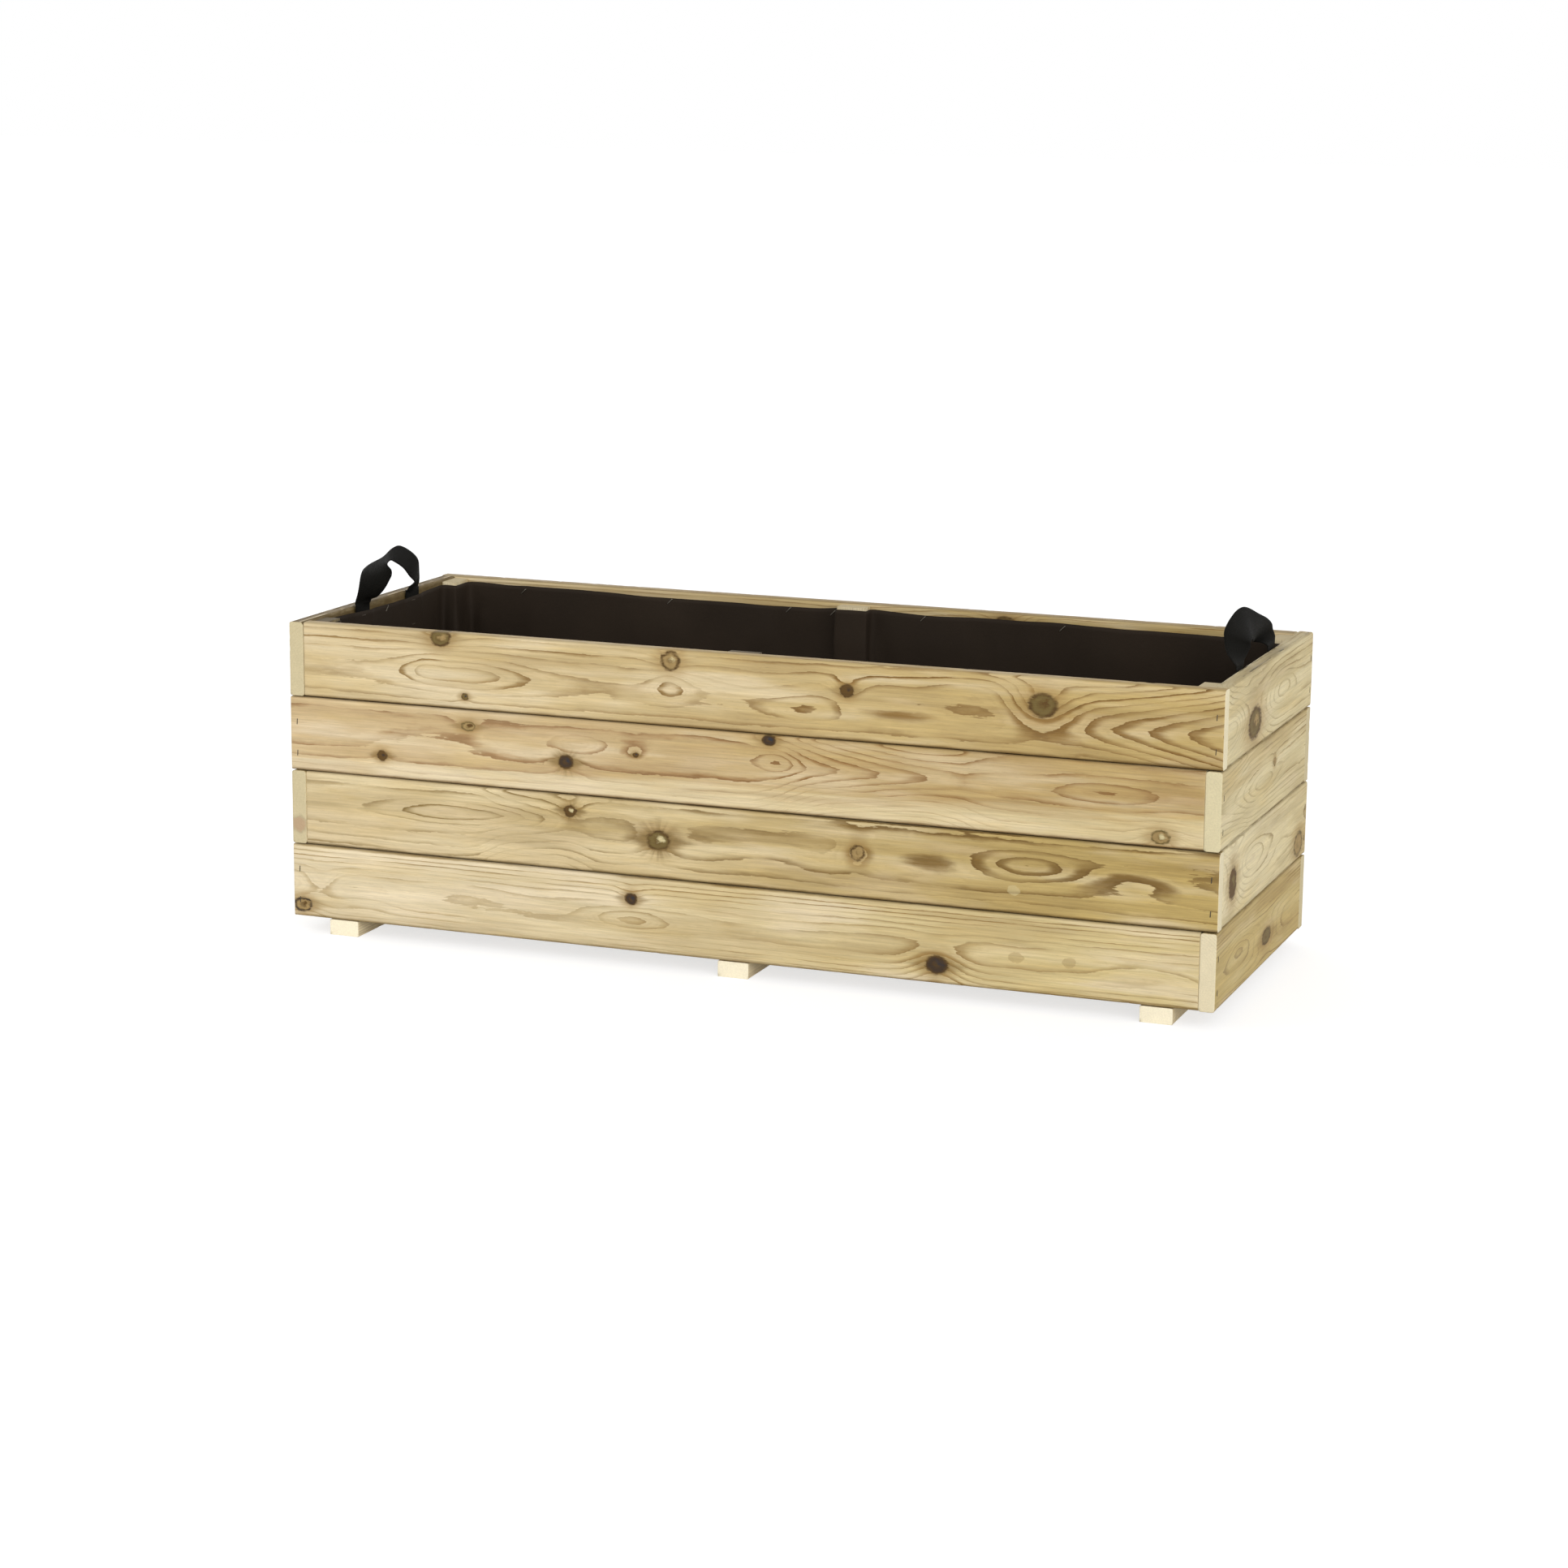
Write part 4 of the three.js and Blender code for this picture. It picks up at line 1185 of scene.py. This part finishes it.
def wire_finish(name, colour, roughness):
    """Zinc-coated wire, dull and a little smeared."""
    finish, nodes = new_finish(name)
    point = nodes.take("ShaderNodeTexCoord", {}, {}, "Object")
    smear = nodes.speckle(point, 700.0, 3.0, 0.6)
    zinc = nodes.mix(smear.rise(0.35, 0.7), colour, times(colour, 0.55))
    varying = {"Base Color": zinc, "Roughness": roughness + smear * 0.2}
    surface(nodes, {"Metallic": 0.85}, varying, smear, 0.0001, 0.5)
    return finish


def lap_spots():
    """Two staples at every lap of the walls: through the board that runs past, into the end of the other."""
    spots = []
    end_x, end_y = LENGTH // 2, DEPTH // 2
    x, y = end_x - LAP_INSET, end_y - LAP_INSET
    leaning = (0.06, 0.06, 1)
    for course in range(1, COURSES + 1):
        z = HEIGHT - BOARD_HIGH * (course - 0.5)
        way = 1 if course % 2 else -1
        for drop in LAP_DROPS:
            for turn in (1, -1):
                place = (turn * way * x, -turn * end_y, z + turn * drop)
                spots.append((place, (0, -turn, 0), leaning))
            for turn in (1, -1):
                place = (turn * end_x, turn * way * y, z + turn * drop)
                spots.append((place, (turn, 0, 0), leaning))
    return spots


def rim_staple(node, crown_off, slant):
    """The spot of one staple of the rim: its node's, with the crown this far off the wall and slanted."""
    low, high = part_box(node)
    x, y, z = (low + high) / 2 / MM
    if abs(x) > WALL_X - BATTEN_DEEP:
        out = 1.0 if x > 0 else -1.0
        return (out * (WALL_X - crown_off), y, z), (-out, 0, 0), (0, 1, slant)
    out = 1.0 if y > 0 else -1.0
    return (x, out * (WALL_Y - crown_off), z), (0, -out, 0), (1, 0, slant)


# Settings


def length_setting(name, description, default, least=0.0):
    return FloatProperty(name=name, description=description, default=default, min=least, unit="LENGTH")


def colour_setting(name, description, default):
    values = {"subtype": "COLOR", "default": default, "min": 0, "max": 1}
    return FloatVectorProperty(name=name, description=description, **values)


def share_setting(name, description, default):
    values = {"subtype": "FACTOR", "default": default, "min": 0.0, "max": 1.0}
    return FloatProperty(name=name, description=description, **values)


def light_setting(name, description, default):
    return FloatProperty(name=name, description=description, default=default, min=0.0)


class PlanterTimber(bpy.types.PropertyGroup):
    arris: length_setting("Board edge radius", "Rounding of the planed boards' edges", 0.0045, 0.0005)
    batten_arris: length_setting("Batten edge radius", "Rounding of posts and runners", 0.0014, 0.0002)
    seam: length_setting("Seam", "Gap that shows between two courses", 0.0009)
    bow: length_setting("Bow", "How far a board bows along its length", 0.0005)
    waver: length_setting("Waver", "How far a planed face wanders", 0.00018)
    bruise: length_setting("Bruise", "Depth of small knocks", 0.0005)
    seed: IntProperty(name="Seed", description="Which grain the unseen boards have", default=12)


class PlanterLiner(bpy.types.PropertyGroup):
    colour: colour_setting("Colour", "The cloth's colour", paint(40, 32, 24))
    thickness: length_setting("Thickness", "The cloth's thickness", 0.0006, 0.0001)
    slack: length_setting("Slack", "How far the cloth stands off the walls", 0.0035)


class PlanterHandles(bpy.types.PropertyGroup):
    colour: colour_setting("Colour", "The webbing's darkest thread", paint(12, 11, 8))
    width: length_setting("Width", "Width of the webbing", 0.038, 0.01)
    thickness: length_setting("Thickness", "Thickness of the webbing", 0.0018, 0.0005)


class PlanterStaples(bpy.types.PropertyGroup):
    crown: length_setting("Crown", "Width of a staple's crown", 0.010, 0.002)
    leg: length_setting("Leg", "Length of a staple's legs", 0.012, 0.002)
    wire: length_setting("Wire", "Diameter of the wire", 0.0012, 0.0003)
    colour: colour_setting("Colour", "The wire's colour", paint(122, 116, 104))


class PlanterStudio(bpy.types.PropertyGroup):
    sky: light_setting("Sky", "Strength of the light from all round", 0.56)
    lamp: light_setting("Lamp", "Strength of the broad lamp in front", 1.7)
    side: light_setting("Side lamp", "Strength of the soft lamp at the left", 14.0)
    shadow: share_setting("Shadow", "How much of the floor's shadow the camera sees", 0.50)
    glow: share_setting("Glow", "The part of the floor's white that no shadow takes away", 0.70)


# Stage

CAMERA_PLACE = (1.544, -4.119, 1.117)
CAMERA_YAW, CAMERA_PITCH, CAMERA_ROLL = -20.8, -11.8, 0.56
CAMERA_LENS = 81.73
FLOOR_REACH = 30
FLOOR_WHITE = 0.9
WHITE = (1.0, 1.0, 1.0)


def background_mask(nodes):
    """1 for what the camera, a gloss or a glass sees, and 0 for the light that falls on the planter."""
    rays = nodes.add("ShaderNodeLightPath")
    ways = ("Camera", "Glossy", "Transmission")
    camera, glossy, clear = (Value(nodes, rays.outputs[f"Is {way} Ray"]) for way in ways)
    return camera.most(glossy).most(clear)


def add_lamp(context, name, kind, place, target, **values):
    """A lamp at place that looks at target."""
    data = bpy.data.lights.new(name, kind)
    for key, value in values.items():
        setattr(data, key, value)
    item = bpy.data.objects.new(name, data)
    context.scene.collection.objects.link(item)
    item.location = place
    item.rotation_euler = (Vector(target) - Vector(place)).to_track_quat("-Z", "Y").to_euler()


# Operators, one for each step of the making


class PLANTER_OT_camera(bpy.types.Operator):
    """Sets the camera where the photograph was taken from"""

    bl_idname = "planter.camera"
    bl_label = "Camera"

    def execute(self, context):
        yaw, pitch, roll = (math.radians(a) for a in (CAMERA_YAW, CAMERA_PITCH, CAMERA_ROLL))
        ahead = Vector((math.sin(yaw) * math.cos(pitch), math.cos(yaw) * math.cos(pitch), math.sin(pitch)))
        level = Vector((math.cos(yaw), -math.sin(yaw), 0.0))
        above = level.cross(ahead)
        right = level * math.cos(roll) + above * math.sin(roll)
        up = above * math.cos(roll) - level * math.sin(roll)
        data = bpy.data.cameras.new("camera")
        data.sensor_width, data.lens = 36.0, CAMERA_LENS
        data.clip_start, data.clip_end = 0.1, 100.0
        camera = bpy.data.objects.new("camera", data)
        context.scene.collection.objects.link(camera)
        turn = Matrix((right, up, -ahead)).transposed().to_4x4()
        camera.matrix_world = Matrix.Translation(CAMERA_PLACE) @ turn
        context.scene.camera = camera
        return {"FINISHED"}


class PLANTER_OT_boards(bpy.types.Operator):
    """Makes the sixteen boards of the walls"""

    bl_idname = "planter.boards"
    bl_label = "Wall boards"

    def execute(self, context):
        settings = context.scene.planter_timber
        long, short = (LENGTH - BOARD_THICK) // 2, (DEPTH - BOARD_THICK) // 2
        walls = {"front": (long, 0), "right": (short, 0), "back": (long, 5), "left": (short, 2)}
        for wall, (half_length, knots) in walls.items():
            for i, (tone, slot) in enumerate(zip(COURSE_TONES, COURSE_SLOTS), start=1):
                node = f"{wall}_board_{i}"
                seed = settings.seed + 10 * i + half_length
                grain = GRAIN.get(node) or natural_grain(tone, seed, half_length, BOARD_HIGH // 2, knots)
                grain = {**grain, **EXTRAS.get(node, {})}
                build_timber(node, grain, slot, settings.arris, settings.seam, context)
        return {"FINISHED"}


class PLANTER_OT_battens(bpy.types.Operator):
    """Makes the posts, the runners and the floor boards"""

    bl_idname = "planter.battens"
    bl_label = "Posts, runners and floor"

    def execute(self, context):
        settings = context.scene.planter_timber
        names = [f"corner_post_{a}_{b}" for a in ("front", "back") for b in ("left", "right")]
        names += ["middle_post_front", "middle_post_back", "runner_left", "runner_middle", "runner_right"]
        for i, node in enumerate(names):
            grain = natural_grain("batten", settings.seed + 300 + i, BATTEN_REACH, BATTEN_WIDE // 2, 1)
            grain["pitch"], grain["sawn"] = 3.2, SAWN_RUNNER if node.startswith("runner") else SAWN_POST
            if node in ("corner_post_front_left", "middle_post_front"):
                grain["tone"], grain["sawn"] = "shaded", SAWN_IN_SHADE
            build_timber(node, grain, "batten", settings.batten_arris, 0.0, context)
        for i, (tone, slot) in enumerate(zip(COURSE_TONES, COURSE_SLOTS)):
            grain = natural_grain(tone, settings.seed + 400 + i, WALL_X - 2, BOARD_HIGH // 2, 3)
            build_timber(f"floor_board_{i + 1}", grain, slot, settings.arris, 0.0, context, FLOOR_GRID)
        return {"FINISHED"}


class PLANTER_OT_liner(bpy.types.Operator):
    """Hangs the cloth liner inside the box"""

    bl_idname = "planter.liner"
    bl_label = "Liner"

    def execute(self, context):
        build_liner(context)
        return {"FINISHED"}


class PLANTER_OT_handles(bpy.types.Operator):
    """Makes the two webbing handles"""

    bl_idname = "planter.handles"
    bl_label = "Handles"

    def execute(self, context):
        build_handle("left", -1, LEFT_LOOP, context)
        build_handle("right", 1, RIGHT_LOOP, context)
        return {"FINISHED"}


class PLANTER_OT_staples(bpy.types.Operator):
    """Drives the wire staples of the straps, the liner and the corner laps"""

    bl_idname = "planter.staples"
    bl_label = "Staples"

    def execute(self, context):
        settings = context.scene.planter_staples
        sizes = [size / MM for size in (settings.crown, settings.leg, settings.wire)]
        bright = wire_finish("zinc wire", tuple(settings.colour), 0.3)
        dull = wire_finish("dull wire", paint(92, 84, 72), 0.5)
        straps = [node for node in sorted(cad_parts) if node.startswith("strap_staple")]
        liners = [node for node in sorted(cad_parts) if node.startswith("liner_staple")]
        strap_spots = [rim_staple(node, STRAP_CROWN, 0) for node in straps]
        liner_spots = [rim_staple(node, LINER_CROWN, 1) for node in liners]
        build_staples("wire_strap_staples", strap_spots, dull, sizes, straps)
        build_staples("wire_liner_staples", liner_spots, bright, sizes, liners)
        sunk = [(np.array(place) - np.array(out) * LAP_SINK, out, way) for place, out, way in lap_spots()]
        build_staples("wire_lap_staples", sunk, dull, (LAP_CROWN, LAP_LEG, LAP_WIRE))
        return {"FINISHED"}


class PLANTER_OT_studio(bpy.types.Operator):
    """Sets the pale floor, the white surroundings and the soft lamps"""

    bl_idname = "planter.studio"
    bl_label = "Studio"

    def execute(self, context):
        settings = context.scene.planter_studio
        finish, nodes = new_finish("studio floor")
        seen = background_mask(nodes)
        floor_colour = nodes.mix(seen, (FLOOR_WHITE,) * 3, (FLOOR_WHITE * settings.shadow,) * 3)
        matt = nodes.take("ShaderNodeBsdfDiffuse", {}, {"Color": floor_colour})
        shine = {"Color": opaque(WHITE), "Strength": seen * settings.glow}
        glow = nodes.take("ShaderNodeEmission", {}, shine)
        both = nodes.take("ShaderNodeAddShader", {}, [matt, glow])
        nodes.add("ShaderNodeOutputMaterial", {}, {"Surface": both})
        corners = [(x * FLOOR_REACH, y * FLOOR_REACH, 0) for x, y in ((-1, -1), (1, -1), (1, 1), (-1, 1))]
        floor = new_piece("studio_floor", corners, [(0, 1, 2, 3)])
        floor.data.materials.append(finish)

        world = bpy.data.worlds.new("studio")
        context.scene.world = world
        world.use_nodes = True
        world.node_tree.nodes.clear()
        nodes = Nodes(world.node_tree)
        strength = settings.sky + background_mask(nodes) * (1.0 - settings.sky)
        sky = nodes.take("ShaderNodeBackground", {}, {"Color": opaque(WHITE), "Strength": strength})
        nodes.add("ShaderNodeOutputWorld", {}, {"Surface": sky})

        wide, centre = {"angle": math.radians(60)}, (0, 0, 0)
        add_lamp(context, "broad lamp", "SUN", (3.0, -3.5, 1.5), centre, energy=settings.lamp, **wide)
        add_lamp(context, "back lamp", "SUN", (-3.0, 3.0, 1.6), centre, energy=settings.lamp * 0.55, **wide)
        beside, left_end = (-2.2, -2.4, 1.7), (-0.6, -0.1, 0.25)
        add_lamp(context, "side lamp", "AREA", beside, left_end, energy=settings.side, size=1.6)

        context.scene.view_settings.view_transform = "Standard"
        return {"FINISHED"}


class PLANTER_PT_panel(bpy.types.Panel):
    """The steps that dress the planter, in order"""

    bl_idname = "PLANTER_PT_panel"
    bl_label = "Planter Box"
    bl_space_type = "VIEW_3D"
    bl_region_type = "UI"
    bl_category = "Planter"

    def draw(self, context):
        for step in STEPS:
            self.layout.operator(step.bl_idname)
        for group in GROUPS:
            box = self.layout.box()
            settings = getattr(context.scene, group)
            for name in settings.bl_rna.properties.keys():
                if name not in ("rna_type", "name"):
                    box.prop(settings, name)


GROUPS = {
    "planter_timber": PlanterTimber,
    "planter_liner": PlanterLiner,
    "planter_handles": PlanterHandles,
    "planter_staples": PlanterStaples,
    "planter_studio": PlanterStudio,
}
STEPS = (
    PLANTER_OT_camera,
    PLANTER_OT_boards,
    PLANTER_OT_battens,
    PLANTER_OT_liner,
    PLANTER_OT_handles,
    PLANTER_OT_staples,
    PLANTER_OT_studio,
)


def register():
    for kind in (*GROUPS.values(), *STEPS, PLANTER_PT_panel):
        bpy.utils.register_class(kind)
    for name, kind in GROUPS.items():
        setattr(bpy.types.Scene, name, PointerProperty(type=kind))


def unregister():
    for name in GROUPS:
        delattr(bpy.types.Scene, name)
    for kind in (PLANTER_PT_panel, *reversed(STEPS), *GROUPS.values()):
        bpy.utils.unregister_class(kind)


def main():
    register()
    bpy.ops.planter.camera()
    bpy.ops.planter.boards()
    bpy.ops.planter.battens()
    bpy.ops.planter.liner()
    bpy.ops.planter.handles()
    bpy.ops.planter.staples()
    bpy.ops.planter.studio()


if __name__ == "__main__":
    main()
